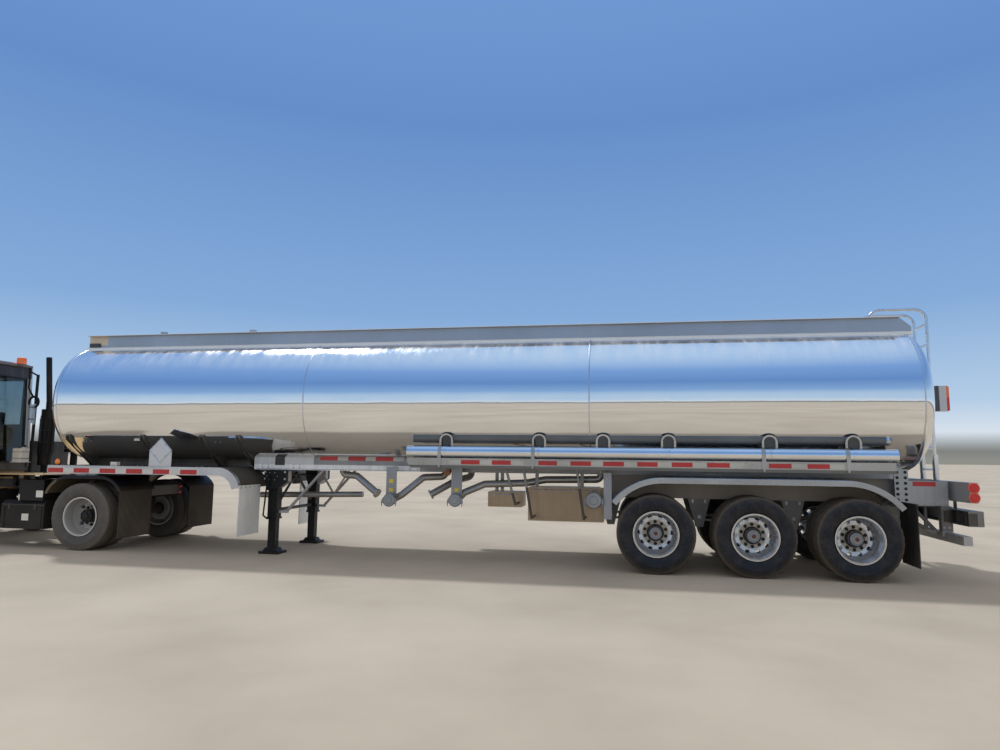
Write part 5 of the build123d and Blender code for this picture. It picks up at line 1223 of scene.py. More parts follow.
def strapRows(x):
    # Narrow strap from a clamp down over the lower tube
    values = clampValues
    inner, outer, half = values["strapInner"], values["strapOuter"], values["strapHalf"]
    start, end = math.radians(values["strapFrom"]), math.radians(values["strapTo"])
    return [arcPoints((x + dx, values["tubeY"], values["tubeZ"]), radius, start, end, 22, "yz")
            for radius, dx in ((inner, -half), (inner, half), (outer, half), (outer, -half))]


clampLegs = [x + side * clampValues["legOut"] for x in clampValues["places"] for side in (-1, 1)]
casingBolts = placesRound(6, 1.0)
lidProfile = [(0.09, -0.001), (0.09, 0.006), (0.06, 0.010), (0.058, 0.006), (0.01, 0.006)]
upperLidProfile = [(0.069, -0.001), (0.069, 0.004), (0.05, 0.008), (0.01, 0.009)]
makeDetails("trailer", {
    "tapeRed": {"finish": "tapeRed", "slot": "lamp_plastic", "bothSides": True, "boxes": tapeBoxes(True)},
    "tapeWhite": {"finish": "tapeWhite", "slot": "aluminium", "bothSides": True, "boxes": tapeBoxes(False)},
    "trailerBolts": {
        "finish": "boltSteel", "slot": "dark_steel", "bothSides": True,
        "bolts": [
            *(((x, -0.7, 0.965), leftward) for x in (12.2, 12.32, 12.44, 12.56)),  # foot of the tail
            # Landing gear's mounting and casing
            *(((x, -0.79, z), leftward) for x in (3.0, 3.33) for z in (1.13, 1.235)),
            *(((3.12 + 0.085 * x, -0.79, 1.17 + 0.062 * z), leftward, 0.006, 0.006, False)
              for x, z in casingBolts),
            # Hangers: two rows each, and the pin below
            *(((x + dx, -0.54, z), leftward, 0.010)
              for x in (8.253, 9.4745, 10.7175, 11.939) for dx in (-0.085, 0.085) for z in (0.905, 0.925)),
            *(((x, -0.54, 0.70), leftward, 0.017, 0.02) for x in (8.253, 9.4745, 10.7175, 11.939)),
            # Frame web above the legs and the hangers
            *(((x, -0.7, z), leftward, 0.009)
              for x in (2.9, 3.0, 3.42, 3.52, 5.3, 5.42, 8.12, 8.24) for z in (1.305, 1.35)),
            # Brackets along the side rail
            *(((x, -1.223, z), leftward, radius)
              for x in (5.885, 7.215, 10.235, 11.255) for z, radius in ((1.365, 0.010), (1.5, 0.008))),
            # Deck plates over the tractor's drive wheels
            *(((x + dx, -1.05, 1.3), upward, 0.009) for x in (-0.33, 1.0, 2.03) for dx in (-0.02, 0.06)),
            *(((x, -0.745, z), leftward, 0.010) for z in (0.6, 0.66) for x in (12.5, 12.56)),  # bumper posts
        ],
    },
    "tailBolts": {
        "finish": "darkNut", "slot": "dark_steel", "bothSides": True,
        "bolts": [((x, -0.712, 1.0 + step * 0.072), leftward, 0.014, 0.014)
                  for x in (11.985, 12.085) for step in range(6)],
    },
    # Fillet weld along the frame's flange
    "weldBeads": {"finish": "boltSteel", "slot": "aluminium", "bothSides": True,
                  "rods": [((2.8, -0.7002, 1.283), (11.94, -0.7002, 1.283), 0.004, 8)]},
    "clampArches": {
        "finish": "clampGrey", "slot": "aluminium", "bothSides": True, "bevel": 0.001,
        "strips": [(archRows(x),) for x in clampValues["places"]],
        "boxes": [((x - 0.014, -1.131, 1.66), (x + 0.014, -1.121, 1.735)) for x in clampLegs],
        "bolts": [((x, -1.131, 1.70), leftward, 0.008, 0.01) for x in clampLegs],
    },
    "clampStraps": {"finish": "brightAluminium", "slot": "aluminium", "bothSides": True,
                    "strips": [(strapRows(x),) for x in clampValues["places"]]},
    # Hinged lids on the lower tubes' ends, and plain caps on the upper ones
    "tubeLids": {
        "finish": "adapterMetal", "slot": "aluminium", "bothSides": True,
        "turned": [((11.851, -1.125, 1.564), rearward, lidProfile, 40),
                   ((5.4, -1.125, 1.564), forward, lidProfile, 40),
                   ((5.46, -1.03, 1.771), forward, upperLidProfile, 32),
                   ((11.751, -1.03, 1.771), rearward, upperLidProfile, 32)],
        "boxes": [((11.852, -1.14, 1.64), (11.868, -1.11, 1.672)),
                  ((11.852, -1.137, 1.462), (11.872, -1.113, 1.498))],
    },
})


# Trailer: fenders, lamps and placard

fenderValues = {"front": 8.950, "rear": 11.219, "top": 1.25, "roll": 0.84, "angle": 52,
                "lip": 0.066, "lipY": -1.262, "ribs": (-1.2, -1.0, -0.8), "endY": (-1.2645, -1.2697)}


def fenderLine(inset, count=18):
    # The fender's side line at a distance inside its top sheet, from front tip to rear tip
    values = fenderValues
    radius = values["roll"] - inset
    centreZ = values["top"] - values["roll"]
    turns = [math.radians(values["angle"]) * step / count for step in range(count + 1)]
    bends = [(radius * math.sin(turn), centreZ + radius * math.cos(turn)) for turn in turns]
    line = [(values["front"] - reach, z) for reach, z in bends[::-1]]
    return line + [(values["rear"] + reach, z) for reach, z in bends]


def drawFenderEnds(bm):
    # Black caps over the fender's rear tips
    outer, inner = fenderLine(-0.0015)[-6:], fenderLine(0.074)[-6:]
    for here, there, lowHere, lowThere in zip(outer, outer[1:], inner, inner[1:]):
        corners = [bm.verts.new((x, y, z))
                   for y in fenderValues["endY"] for x, z in (here, there, lowThere, lowHere)]
        for face in ((0, 1, 2, 3), (7, 6, 5, 4), (0, 4, 5, 1), (2, 6, 7, 3)):
            bm.faces.new([corners[index] for index in face])


placardValues = {"middle": (1.5, -1.2365, 1.545), "side": 0.1365}


def placardRods():
    # Raised frame with clips round the blank diamond
    middle, side = Vector(placardValues["middle"]), placardValues["side"]
    rods = []
    for turn in range(4):
        angle = math.radians(45 + 90 * turn)
        out = Vector((math.cos(angle), 0, math.sin(angle)))
        along = Vector((-math.sin(angle), 0, math.cos(angle)))
        edge = middle + out * (side - 0.008)
        rods.append((edge - along * (side - 0.004), edge + along * (side - 0.004), 0.0045, 8))
        clip = middle + out * (side - 0.016) - Vector((0, 0.003, 0))
        rods.append((clip - along * 0.02, clip + along * 0.02, 0.006, 6))
    return rods


tailLampHeights = (1.065, 1.185)
makeDetails("trailer", {
    # Rolled edge along the lip, and ribs along the top sheet
    "fenderRibs": {
        "finish": "brightAluminium", "slot": "polished_aluminium", "bothSides": True, "angle": 60,
        "bars": [([(x, fenderValues["lipY"], z) for x, z in fenderLine(fenderValues["lip"])], 0.0075, 10),
                 *(([(x, y, z) for x, z in fenderLine(0.002)], 0.006, 8) for y in fenderValues["ribs"])],
    },
})
makePiece("fenderEnds", drawFenderEnds, "blackRubber", "trailer", bothSides=True)
makeDetails("trailer", {
    "lampBezels": {
        "finish": "orangeBezel", "slot": "lamp_plastic", "bothSides": True,
        "turned": [((12.672, -1.2, z), leftward,
                    [(0.0505, 0.0), (0.066, 0.0), (0.066, 0.006), (0.060, 0.011), (0.0505, 0.011)], 36, True)
                   for z in tailLampHeights],
    },
    # Rings moulded in the tail lamps' lenses
    "lampRings": {
        "finish": "redLens", "slot": "lamp_plastic", "bothSides": True,
        "turned": [((12.672, -1.2217, z), leftward,
                    [(radius - 0.004, 0.0), (radius, 0.0022), (radius + 0.004, 0.0)], 32)
                   for z in tailLampHeights for radius in (0.014, 0.028, 0.041)],
    },
    "placardEdge": {"finish": "brightAluminium", "slot": "grey_paint", "bothSides": True,
                    "rods": placardRods()},
    "deckBox": {"finish": "whitePlastic", "slot": "aluminium", "bevel": 0.004,
                "boxes": [((0.57, -1.14, 1.3005), (0.68, -1.06, 1.36)),
                           ((0.6, -1.145, 1.315), (0.65, -1.139, 1.345))]},
    # Round side lamp at the deck's front end
    "deckLamp": {
        "finish": "amberLens", "slot": "lamp_plastic", "bothSides": True,
        "turned": [((-0.315, -1.2, 1.352), leftward,
                    [(0.047, 0.0), (0.047, 0.012), (0.036, 0.024), (0.018, 0.03), (0.004, 0.031)], 32)],
    },
    "deckLampBase": {
        "finish": "blackRubber", "slot": "black_plastic", "bothSides": True,
        "boxes": [((-0.345, -1.2, 1.2995), (-0.285, -1.193, 1.34))],
        "turned": [((-0.315, -1.193, 1.352), leftward,
                    [(0.03, 0.0), (0.054, 0.0), (0.054, 0.012), (0.0475, 0.014), (0.0465, 0.007)], 32)],
    },
    "valveBody": {
        "finish": "brownFitting", "slot": "grey_metal", "bevel": 0.002,
        "rods": [((5.9, -0.699, 1.265), (5.9, -0.79, 1.26), 0.034, 20),
                 ((5.9, -0.79, 1.26), (5.9, -0.815, 1.26), 0.045, 8),
                 ((5.86, -0.755, 1.225), (5.94, -0.755, 1.3), 0.018, 14)],
    },
    # Blank dark plate on the frame
    "framePlate": {"finish": "darkPlate", "slot": "dark_steel", "bevel": 0.001,
                   "boxes": [((3.11, -0.705, 1.34), (3.27, -0.699, 1.46))]},
    "outletTags": {"finish": "yellowTag", "slot": "lamp_plastic",
                   "boxes": [((x - 0.03, -0.8735, z - 0.025), (x + 0.03, -0.8695, z + 0.03))
                             for x, z in ((5.07, 1.0), (6.06, 1.02), (5.07, 1.13))]},
})


# Trailer: outlets, cabinets, tank top and springs

outletValues = {
    "caps": ((5.07, 0.86, 0.09), (6.06, 0.88, 0.09), (8.03, 0.92, 0.11)), "face": -0.975, "collar": -0.95,
}
cabinetValues = {
    # front, rear, bottom, top, outer face
    "cabinets": ((7.08, 8.16, 0.6, 1.08, 0.7), (6.48, 6.99, 0.78, 1.0, 0.65)),
    "inset": 0.055, "rivetPitch": 0.09,
}
manholeValues = {"places": (1.35, 5.95, 10.2), "bolts": 12, "boltCircle": 0.232, "rimZ": 3.417}
springValues = {"half": 0.42, "bottom": 0.608, "leaf": 0.012, "camber": 0.045, "edges": (-0.541, -0.459)}


def outletHandle(x, z, radius, side):
    near, far = x + side * (radius + 0.012), x + side * (radius + 0.022)
    return [(near, -0.955, z + 0.02), (far, -0.965, z - 0.03), (near, -0.972, z - 0.085)], 0.007, 8


def cabinetRods():
    # Rivets along the doors' top and bottom, and a long hinge above
    rods = []
    for front, rear, bottom, top, outer in cabinetValues["cabinets"]:
        y = -outer - 0.008
        rods.append(((front + 0.045, y - 0.002, top - 0.041), (rear - 0.045, y - 0.002, top - 0.041),
                     0.006, 10))
        count = int((rear - front) / cabinetValues["rivetPitch"])
        for step in range(count + 1):
            x = front + 0.06 + (rear - front - 0.12) * step / count
            for z in (bottom + cabinetValues["inset"], top - cabinetValues["inset"]):
                rods.append(((x, y + 0.001, z), (x, y - 0.002, z), 0.005, 8, 0.003))
    return rods


def manholeBolts():
    values = manholeValues
    places = placesRound(values["bolts"], values["boltCircle"], 0.5)
    clear = [(x, y) for x, y in places if x > 0 or abs(y) >= 0.45 * values["boltCircle"]]  # room for the hinge
    return [((middle + x, y, values["rimZ"]), upward, 0.011, 0.014)
            for middle in values["places"] for x, y in clear]


def leafLine(axle, level, y):
    # The edge of one spring leaf, cambered from its middle
    values = springValues
    steps = [values["half"] * (step / 6 - 1) for step in range(13)]
    foot = values["bottom"] + values["leaf"] * level
    return [(axle + dx, y, foot + values["camber"] * (dx / 0.56) ** 2) for dx in steps]


boltLine = [(-0.556, 0.45), (-0.556, 0.665), (-0.548, 0.69), (-0.53, 0.70),
            (-0.47, 0.70), (-0.452, 0.69), (-0.444, 0.665), (-0.444, 0.45)]
makeDetails("trailer", {
    # Faces, collars and handles of the outlets' caps
    "outletTrim": {
        "finish": "adapterMetal", "slot": "grey_metal",
        "turned": [
            *(((x, outletValues["face"], z), leftward,
               [(radius * 0.55, -0.001), (radius * 0.55, 0.0), (radius * 0.5, 0.008), (0.03, 0.009)], 32)
              for x, z, radius in outletValues["caps"]),
            *(((x, outletValues["collar"], z), leftward,
               bandProfile(radius + 0.0005, radius + 0.005, 0.016, 0.003), 40, True)
              for x, z, radius in outletValues["caps"]),
        ],
        "bars": [outletHandle(x, z, radius, side) for x, z, radius in outletValues["caps"] for side in (-1, 1)],
    },
    "cabinetTrim": {"finish": "brightAluminium", "slot": "polished_aluminium", "rods": cabinetRods()},
    "manholeTrim": {
        "finish": "boltSteel", "slot": "aluminium", "bolts": manholeBolts(),
        "turned": [((x, 0, 3.35), upward, bandProfile(0.2555, 0.262, 0.012), 48, True)
                   for x in manholeValues["places"]],
    },
    "ventTrim": {
        "finish": "boltSteel", "slot": "aluminium",
        "turned": [((x, 0, z), upward, [(0.0605, 0.0), (0.0635, 0.003), (0.0605, 0.006)], 32, True)
                   for x in (0.5, 2.2) for z in (3.545, 3.56, 3.575)],
    },
    # Edges of the leaves along each spring, with U bolts round them
    "springLeaves": {
        "finish": "boltSteel", "slot": "dark_steel", "bothSides": True,
        "bars": [
            *((leafLine(axle, level, y), 0.003, 6)
              for axle in twinAxles for level in (1, 2, 3) for y in springValues["edges"]),
            *(([(axle + dx, y, z) for y, z in boltLine], 0.009, 8)
              for axle in twinAxles for dx in (-0.048, 0.048)),
        ],
        "boxes": [((axle - 0.07, -0.57, 0.435), (axle + 0.07, -0.43, 0.452)) for axle in twinAxles],
    },
    "chamberBands": {
        "finish": "boltSteel", "slot": "dark_steel", "bothSides": True,
        "turned": [((axle + dx, -0.33, 0.495), rearward, bandProfile(0.0825, 0.088, 0.016), 32, True)
                   for axle in twinAxles for dx in (0.199, 0.289)],
        "rods": [((axle + 0.294, -0.33, 0.495), (axle + 0.31, -0.33, 0.495), 0.03, 16) for axle in twinAxles],
    },
    # Bars with bolts that hold the flaps
    "flapHangers": {
        "finish": "boltSteel", "slot": "dark_steel", "bothSides": True,
        "boxes": [((2.8486, -1.262, 0.985), (2.8541, -0.68, 1.03))],
        "bolts": [((x, -1.22 + step * 0.125, z), rearward, 0.009, 0.008)
                  for x, z in ((2.8651, 1.01), (12.0047, 0.93)) for step in range(5)],
    },
    # Lap strips over the overturn rails' joints, and the lower edge's bead
    "railJoints": {
        "finish": "railAluminium", "slot": "aluminium", "bothSides": True,
        "boxes": [((x, -0.6015, 3.285), (x + 0.05, -0.5995, 3.446)) for x in (0.66, 1.98, 5.4, 9.3)],
        "rods": [((-0.44, -0.644, 3.247), (12.28, -0.644, 3.247), 0.006, 10)],
    },
})
print("trailer details done")


# Tractor: cab

cabValues = {
    "front": 3.35, "rear": 2.0, "floor": 1.18, "roof": 3.07, "lean": 0.1, "rake": 0.38, "screenSill": 1.95,
}


def rearFace(z, out=0.0):
    # x of the cab's rear face at a height
    values = cabValues
    return -values["rear"] - values["lean"] * (z - values["floor"]) / (values["roof"] - values["floor"]) + out


def screenFace(z, out=0.0):
    values = cabValues
    rise = (z - values["screenSill"]) / (values["roof"] - values["screenSill"])
    return -values["front"] + values["rake"] * rise - out


def acrossPane(face, left, right, low, high, out=0.001):
    # Corners of a pane in the cab's front or rear
    return [(face(low, out), left, low), (face(low, out), right, low),
            (face(high, out), right, high), (face(high, out), left, high)]


def sidePane(y, front, rear, low, high):
    return [(front, y, low), (rear, y, low), (rear, y, high), (front, y, high)]


def onScreen(y, z, out):
    return (screenFace(z, out), y, z)


lensValues = {"headY": (-0.76, 0.76), "headZ": 1.28, "ribStep": 0.02, "radius": 0.078,
              "bumperY": (-0.86, 0.86), "bumperZ": 0.79, "tailY": -0.39, "tailZ": (0.83, 0.93)}


def lensRibs():
    # Bars across each headlamp's lens, as long as its circle allows
    values = lensValues
    rods = []
    for y in values["headY"]:
        for step in range(-3, 4):
            rise = step * values["ribStep"]
            half = math.sqrt(values["radius"] ** 2 - rise ** 2) - 0.006
            z = values["headZ"] + rise
            rods.append(((-3.9512, y - half, z), (-3.9512, y + half, z), 0.0022, 6))
    return rods


makeDetails("tractor", {
    "windowGaskets": {
        "finish": "blackRubber", "slot": "rubber",
        "edgings": [(acrossPane(rearFace, -0.88, -0.15, 1.33, 2.8), 0.011),
                    (acrossPane(screenFace, -1.01, -0.15, 2.01, 2.9), 0.012),
                    (sidePane(-0.059, -2.95, -2.2, 1.98, 2.78), 0.010)],
    },
    "doorGasket": {
        "finish": "blackRubber", "slot": "rubber", "body": "cab_door",
        "edgings": [(sidePane(-1.101, -2.86, -2.24, 1.9, 2.7), 0.010),
                    (sidePane(-1.098, -2.925, -2.165, 1.245, 2.775), 0.005)],
    },
    "wiper": {
        "finish": "blackRubber", "slot": "black_plastic",
        "rods": [(onScreen(-0.58, 1.975, 0.0), onScreen(-0.58, 1.985, 0.03), 0.018, 14)],
        "bars": [
            ([onScreen(-0.58, 1.985, 0.028), onScreen(-0.5, 2.2, 0.026), onScreen(-0.42, 2.42, 0.02)],
             0.006, 8),
            ([onScreen(-0.36, 2.16, 0.014), onScreen(-0.42, 2.42, 0.014), onScreen(-0.48, 2.68, 0.014)],
             0.007, 8),
        ],
    },
    "roofLamps": {
        "finish": "amberLens", "slot": "lamp_plastic",
        "turned": [((-2.83, y, 3.066), upward,
                    [(0.034, 0.0), (0.034, 0.008), (0.028, 0.022), (0.016, 0.032), (0.005, 0.034)], 24)
                   for y in (-0.95, -0.77, -0.58, -0.39, -0.21)],
    },
    "mirrorGlass": {"finish": "mirrorGlass", "slot": "glass",
                    "boxes": [((-3.3805, y - 0.06, 2.14), (-3.3795, y + 0.06, 2.43)) for y in (-1.17, 0.01)]},
    "headLampRings": {
        "finish": "chromeTrim", "slot": "polished_aluminium",
        "turned": [((-3.95, y, lensValues["headZ"]), forward,
                    [(0.090, -0.001), (0.103, -0.001), (0.104, 0.006), (0.099, 0.010), (0.091, 0.006)], 40, True)
                   for y in lensValues["headY"]],
    },
    "headLampLens": {
        "finish": "clearLens", "slot": "glass", "rods": lensRibs(),
        "turned": [((-3.943, y, lensValues["headZ"]), forward,
                    [(0.083, 0.0), (0.080, 0.005), (0.06, 0.009), (0.03, 0.011), (0.005, 0.0115)], 40)
                   for y in lensValues["headY"]],
    },
    "bumperLamps": {
        "finish": "amberLens", "slot": "lamp_plastic",
        "turned": [((-4.028, y, lensValues["bumperZ"]), forward,
                    [(0.0615, -0.004), (0.0615, 0.008), (0.05, 0.013), (0.02, 0.016), (0.005, 0.0165)], 36)
                   for y in lensValues["bumperY"]],
        "rods": [((-4.02, y, lensValues["bumperZ"]), (-4.0, y, lensValues["bumperZ"]), 0.058, 24)
                 for y in lensValues["bumperY"]],
    },
    # Two lamps at the end of each rail
    "railTailLamps": {
        "finish": "redLens", "slot": "lamp_plastic", "bothSides": True,
        "rods": [((0.719, lensValues["tailY"], z), (0.724, lensValues["tailY"], z), 0.036, 28)
                 for z in lensValues["tailZ"]],
        "turned": [((0.724, lensValues["tailY"], z), rearward,
                    [(0.033, 0.0), (0.031, 0.008), (0.018, 0.013), (0.004, 0.0145)], 28)
                   for z in lensValues["tailZ"]],
    },
})


# Tractor: hood, chassis, tank and boxes

bandValues = {"places": (-2.02, -1.53), "inner": -0.5, "y": -1.03, "upperZ": 0.75, "lowerZ": 0.5,
              "radius": 0.152,
              "strands": (-0.014, 0.0, 0.014)}


def bandLine(x):
    # A band's line from the tank's inner top round its outer side to the inner bottom
    values = bandValues
    y, radius, upper, lower = values["y"], values["radius"], values["upperZ"], values["lowerZ"]
    return [(x, values["inner"], upper + radius), (x, y, upper + radius),
            *arcPoints((x, y, upper), radius, math.pi / 2, math.pi, 8, "yz"),
            *arcPoints((x, y, lower), radius, math.pi, 1.5 * math.pi, 8, "yz"),
            (x, values["inner"], lower - radius)]


makeDetails("tractor", {
    # Mesh behind the slats
    "grilleMesh": {
        "finish": "darkNut", "slot": "dark_steel",
        "rods": [((-3.9, y, 1.142), (-3.9, y, 1.418), 0.003, 6)
                 for y in (0.84 * step / 25 - 0.42 for step in range(26))],
    },
    # Seam plates, the bonnet's pull and its two hinges
    "hoodTrim": {
        "finish": "blackRubber", "slot": "black_plastic", "bevel": 0.002,
        "boxes": [((-3.52, -1.1006, 1.3), (-3.46, -1.0984, 1.36)),
                  ((-3.52, 1.0984, 1.3), (-3.46, 1.1006, 1.36))],
        "bars": [([(-3.945, 0.0, 1.46), (-3.97, 0.0, 1.465), (-3.975, 0.0, 1.49), (-3.95, 0.0, 1.5)],
                  0.009, 8)],
        "rods": [((-3.36, y - 0.06, 1.7), (-3.36, y + 0.06, 1.7), 0.011, 12) for y in (-0.5, 0.5)],
    },
    # Upright ribs down the flaps behind the drive wheels
    "flapRibs": {
        "finish": "flapDark", "slot": "rubber", "bothSides": True,
        "rods": [((0.8441, y, 0.21), (0.8441, y, 0.905), 0.0042, 6)
                 for y in (step * 0.0255 - 1.205 for step in range(28))],
    },
    "tractorBolts": {
        "finish": "darkNut", "slot": "dark_steel", "bothSides": True,
        "bolts": [*(((x, -0.43, z), leftward, 0.010)
                    for x in (-3.5, -3.4, -2.95, -2.65, -1.3, -0.45, -0.2, 0.5, 0.6) for z in (0.83, 0.93)),
                  *(((x, y, 1.148), upward, 0.009) for x in (-1.84, -0.59, 0.2, 0.35) for y in (-1.16, -0.6))],
    },
    # Three strands make each of the fuel tank's bands
    "tankBands": {
        "finish": "boltSteel", "slot": "dark_steel",
        "bars": [(bandLine(x + dx), 0.0075, 6) for x in bandValues["places"] for dx in bandValues["strands"]],
        "rods": [((x, -1.183, 0.62), (x, -1.189, 0.62), 0.013, 6) for x in bandValues["places"]],
    },
    # Latches and the lid's lip on the battery box
    "boxTrim": {
        "finish": "blackRubber", "slot": "black_paint", "bevel": 0.001,
        "boxes": [((-1.296, -1.183, 0.665), (-0.514, -1.179, 0.68)),
                  *(((x - 0.02, -1.188, 0.6), (x + 0.02, -1.18, 0.69)) for x in (-1.15, -0.68))],
        "rods": [((x - 0.012, -1.187, 0.61), (x + 0.012, -1.187, 0.61), 0.005, 8) for x in (-1.15, -0.68)],
    },
    # Small white plates, left blank
    "blankPlates": {"finish": "whitePlastic", "slot": "grey_paint",
                    "boxes": [((x - 0.062, -1.1825, z - 0.052), (x + 0.062, -1.1795, z + 0.052))
                              for x, z in ((-0.62, 0.845), (-0.85, 0.482))]},
    "fillerCap": {
        "finish": "chromeTrim", "slot": "polished_aluminium",
        "turned": [((-1.06, -1.0775, 0.801), (0, -0.22, 0.976),
                    [(0.0585, -0.012), (0.062, -0.01), (0.062, 0.012), (0.056, 0.017), (0.02, 0.019),
                     (0.004, 0.019)],
                    32)],
        "boxes": [((-1.1, -1.09, 0.818), (-1.02, -1.078, 0.832))],
    },
    # Grip ribs on the tank's top and the box's lids
    "stepRibs": {
        "finish": "darkNut", "slot": "dark_steel",
        "rods": [
            *(((x, -1.13, 0.9015), (x, -0.75, 0.9015), 0.0035, 6)
              for x in (step * 0.052 - 2.12 for step in range(14))),
            *(((x, -1.15, 0.9265), (x, -0.56, 0.9265), 0.0035, 6)
              for x in (step * 0.052 - 0.97 for step in range(8))),
        ],
    },
})


# Tractor: rack, exhaust, air cleaner, beacon and fifth wheel

stackValues = {"place": (-2.01, 0.3), "guard": 0.121, "low": 1.46, "high": 2.1}
cleanerValues = {"place": (-1.76, 0.7), "vent": 0.1105}
beaconValues = {"place": (-2.046, -0.33), "ribs": 28, "circle": 0.0735}


def uprights(place, spots, low, high, radius, sides):
    # Rods that stand round a place
    return [((place[0] + x, place[1] + y, low), (place[0] + x, place[1] + y, high), radius, sides)
            for x, y in spots]


makeDetails("tractor", {
    "bottleStraps": {
        "finish": "blackRubber", "slot": "rubber",
        "edgings": [([(-1.892, -0.522, z), (-1.688, -0.522, z), (-1.688, -0.338, z), (-1.892, -0.338, z)], 0.004, 6)
                    for z in (1.39, 1.5)],
    },
    "bottleCap": {
        "finish": "blackRubber", "slot": "black_plastic",
        "rods": [((-1.74, -0.43, 1.598), (-1.74, -0.43, 1.618), 0.034, 24)],
        "turned": [((-1.77, -0.31, z), upward, bandProfile(0.0425, 0.0455, 0.016), 28, True)
                   for z in (2.06, 2.27)],
    },
    # Slotted guard round the muffler, open towards the cab
    "stackGuard": {
        "finish": "darkNut", "slot": "dark_steel",
        "rods": uprights(stackValues["place"], placesRound(12, stackValues["guard"], -5)[:9],
                         stackValues["low"], stackValues["high"], 0.007, 6),
        "turned": [((*stackValues["place"], z), upward, bandProfile(0.1185, 0.129, 0.012), 36, True)
                   for z in (stackValues["low"], 1.67, 1.89, stackValues["high"])],
    },
    "cleanerBands": {
        "finish": "boltSteel", "slot": "dark_steel",
        "turned": [((*cleanerValues["place"], z), upward, bandProfile(0.1655, 0.170, 0.024), 40, True)
                   for z in (1.56, 1.86, 2.18)],
        "rods": uprights(cleanerValues["place"], placesRound(20, cleanerValues["vent"]), 2.27, 2.36, 0.004, 6),
    },
    # Ribs inside the lens, which show as fine lines
    "beaconRibs": {
        "finish": "amberLens", "slot": "lamp_plastic",
        "rods": uprights(beaconValues["place"], placesRound(beaconValues["ribs"], beaconValues["circle"]),
                         3.05, 3.13, 0.0018, 5),
    },
    # Pins through the fifth wheel's stands, and collars on its rams
    "fifthWheelPins": {
        "finish": "darkNut", "slot": "dark_steel",
        "rods": [((x, y - 0.032, 1.12), (x, y + 0.032, 1.12), 0.024, 16)
                 for x in (-0.14, 0.14) for y in (-0.3, 0.3)],
        "turned": [((-0.56, y, 1.035), (0.45, 0, 0.07), bandProfile(0.0385, 0.044, 0.024, start=-0.01), 24, True)
                   for y in (-0.31, 0.31)],
    },
})
print("tractor details done")


# CAD nodes' finishes

nodeFinishes = {
    "cabinets": "cabinetMetal", "hose_tubes_lower": "tubeAluminium", "rear_fenders": "fenderAluminium",
    "front_fenders": "deckAluminium", "overturn_rails": "railAluminium", "manhole_necks": "greyAluminium",
    "manhole_lid_front": "greyAluminium", "manhole_lid_middle": "greyAluminium",
    "manhole_lid_rear": "greyAluminium", "rear_ladder": "brightAluminium", "side_rails": "sideRailMetal",
    "outlet_pipes": "pipeMetal", "outlet_adapters": "adapterMetal", "frame_rails": "frameAluminium",
    "coupler": "couplerMetal", "running_gear": "bogieSteel", "rear_bumpers": "bumperMetal",
    "landing_legs": "legPaint", "front_axle": "darkSteel", "tractor_rear_axle": "darkSteel",
    "knuckle_left": "darkSteel", "knuckle_right": "darkSteel", "fifth_wheel": "greasySteel",
    "engine": "engineGrey", "hose_tubes_upper": "tubeGrey", "mudflaps": "flapRubber", "lamps": "lampRed",
    "placards": "plateMetal", "tractor_frame": "frameTan", "cab_shell": "cabPaint", "cab_door": "tanPaint",
    "hood": "hoodPaint", "cab_interior": "cabPlastic", "tractor_fenders": "fenderBlack",
    "side_tanks": "boxBlack", "exhaust": "stackBlack", "air_rack": "rackBlack", "cab_glass": "cabGlass",
    "door_glass": "cabGlass", "drive_wheels_left": "driveWheel", "drive_wheels_right": "driveWheel",
    "front_wheel_left": "steerWheel", "front_wheel_right": "steerWheel",
}
for index in range(len(twinAxles)):
    for side in ("left", "right"):
        nodeFinishes[f"wheels_{index + 1}_{side}"] = f"twinWheel{index + 1}"
for name, finish in nodeFinishes.items():
    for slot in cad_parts[name].material_slots:
        slot.material = materials[finish]
print("finishes assigned")


# Floor, sky light, sun and camera

stageValues = {
    "floorSize": 600.0,
    "floorColour": (0.46, 0.415, 0.355),
    "floorDark": (0.37, 0.33, 0.28),
    "ambient": 0.78,
    "sunStrength": 2.0,
    "sunWay": (0.42, -0.36, -0.83),
    "sunAngle": math.radians(4),
    # height of the direction (sine of its elevation), colour
    "sky": ((0.0, (0.56, 0.56, 0.54)), (0.012, (0.5, 0.51, 0.5)), (0.02, (0.62, 0.64, 0.65)),
            (0.035, (0.84, 0.88, 0.92)), (0.075, (0.7, 0.8, 0.9)), (0.2, (0.52, 0.67, 0.85)),
            (0.45, (0.4, 0.56, 0.79)), (0.75, (0.48, 0.64, 0.86)), (1.0, (0.68, 0.8, 0.94))),
}


def toLinear(colour):
    return tuple(
        channel / 12.92 if channel <= 0.04045 else ((channel + 0.055) / 1.055) ** 2.4 for channel in colour
    )


def makeFloor():
    half = stageValues["floorSize"] / 2
    mesh = bpy.data.meshes.new("floor")
    corners = [(-half, -half, 0), (half, -half, 0), (half, half, 0), (-half, half, 0)]
    mesh.from_pydata(corners, [], [(0, 1, 2, 3)])
    floor = bpy.data.objects.new("floor", mesh)
    bpy.context.collection.objects.link(floor)
    material, tree, surface = newMaterial("paleFloor")
    patches = mapRange(tree, noiseOver(tree, objectPlace(tree), 0.35, 6.0, 0.55), 0.35, 0.65)
    tone = mixColour(tree, patches, stageValues["floorColour"], stageValues["floorDark"])
    join(tree, tone, surface["Base Color"])
    surface["Roughness"].default_value = 0.9
    surface["Specular IOR Level"].default_value = 0.1
    mesh.materials.append(material)


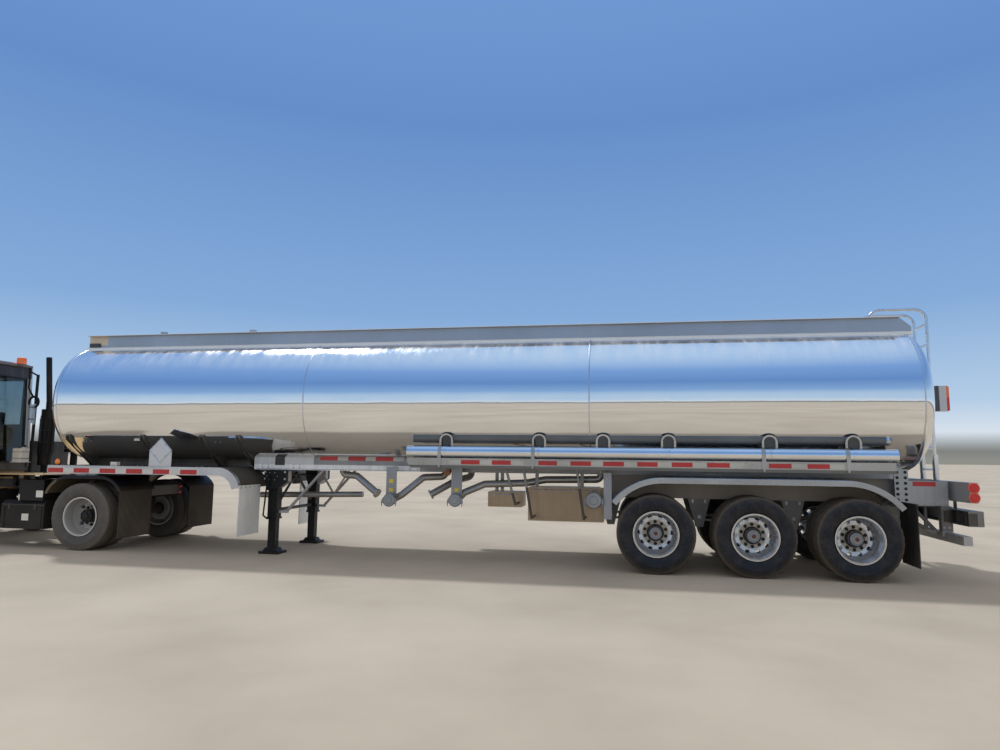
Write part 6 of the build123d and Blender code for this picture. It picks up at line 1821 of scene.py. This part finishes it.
def makeWorld():
    world = bpy.data.worlds.new("studio")
    bpy.context.scene.world = world
    world.use_nodes = True
    tree = world.node_tree
    tree.nodes.clear()
    way = splitOf(tree, addNode(tree, "ShaderNodeTexCoord").outputs["Generated"])
    sky = [(height, toLinear(colour)) for height, colour in stageValues["sky"]]
    seen = addNode(tree, "ShaderNodeBackground", {"Strength": 1.0})
    join(tree, rampOf(tree, way["Z"], sky, linear=True), seen.inputs["Color"])
    light = addNode(tree, "ShaderNodeBackground", {"Strength": stageValues["ambient"]})
    light.inputs["Color"].default_value = (1, 1, 1, 1)
    path = addNode(tree, "ShaderNodeLightPath")
    shown = mathNode(tree, "ADD", path.outputs["Is Camera Ray"], path.outputs["Is Glossy Ray"], clamp=True)
    shown = mathNode(tree, "ADD", shown, path.outputs["Is Transmission Ray"], clamp=True)
    mix = addNode(tree, "ShaderNodeMixShader")
    join(tree, shown, mix.inputs[0])
    join(tree, light.outputs[0], mix.inputs[1])
    join(tree, seen.outputs[0], mix.inputs[2])
    end = addNode(tree, "ShaderNodeOutputWorld")
    join(tree, mix.outputs[0], end.inputs["Surface"])


def makeSun():
    lamp = bpy.data.lights.new("softSun", "SUN")
    lamp.energy = stageValues["sunStrength"]
    lamp.angle = stageValues["sunAngle"]
    sun = bpy.data.objects.new("softSun", lamp)
    sun.rotation_euler = Vector(stageValues["sunWay"]).to_track_quat("-Z", "Y").to_euler()
    bpy.context.collection.objects.link(sun)


cameraValues = {
    "place": (8.4807 + kingpinX, -10.6049, 1.5155),
    "yaw": -0.1828,
    "pitch": 0.118,
    "roll": 0.0107,
    "focalShare": 0.68329,  # focal length as a share of the picture's width
    "sensor": 36.0,
}


def makeCamera():
    yaw, pitch, roll = (cameraValues[name] for name in ("yaw", "pitch", "roll"))
    forward = Vector((math.sin(yaw) * math.cos(pitch), math.cos(yaw) * math.cos(pitch), math.sin(pitch)))
    level = Vector((math.cos(yaw), -math.sin(yaw), 0))
    up = level.cross(forward)
    right = math.cos(roll) * level + math.sin(roll) * up
    top = -math.sin(roll) * level + math.cos(roll) * up
    data = bpy.data.cameras.new("photoCamera")
    data.sensor_width = cameraValues["sensor"]
    data.sensor_fit = "HORIZONTAL"
    data.lens = cameraValues["focalShare"] * cameraValues["sensor"]
    data.clip_end = 1000
    camera = bpy.data.objects.new("photoCamera", data)
    turn = Matrix((right, top, -forward)).transposed().to_4x4()
    camera.matrix_world = Matrix.Translation(cameraValues["place"]) @ turn
    bpy.context.collection.objects.link(camera)
    bpy.context.scene.camera = camera


makeFloor()
makeWorld()
makeSun()
makeCamera()
bpy.context.scene.view_settings.view_transform = "Standard"
print("stage ready")
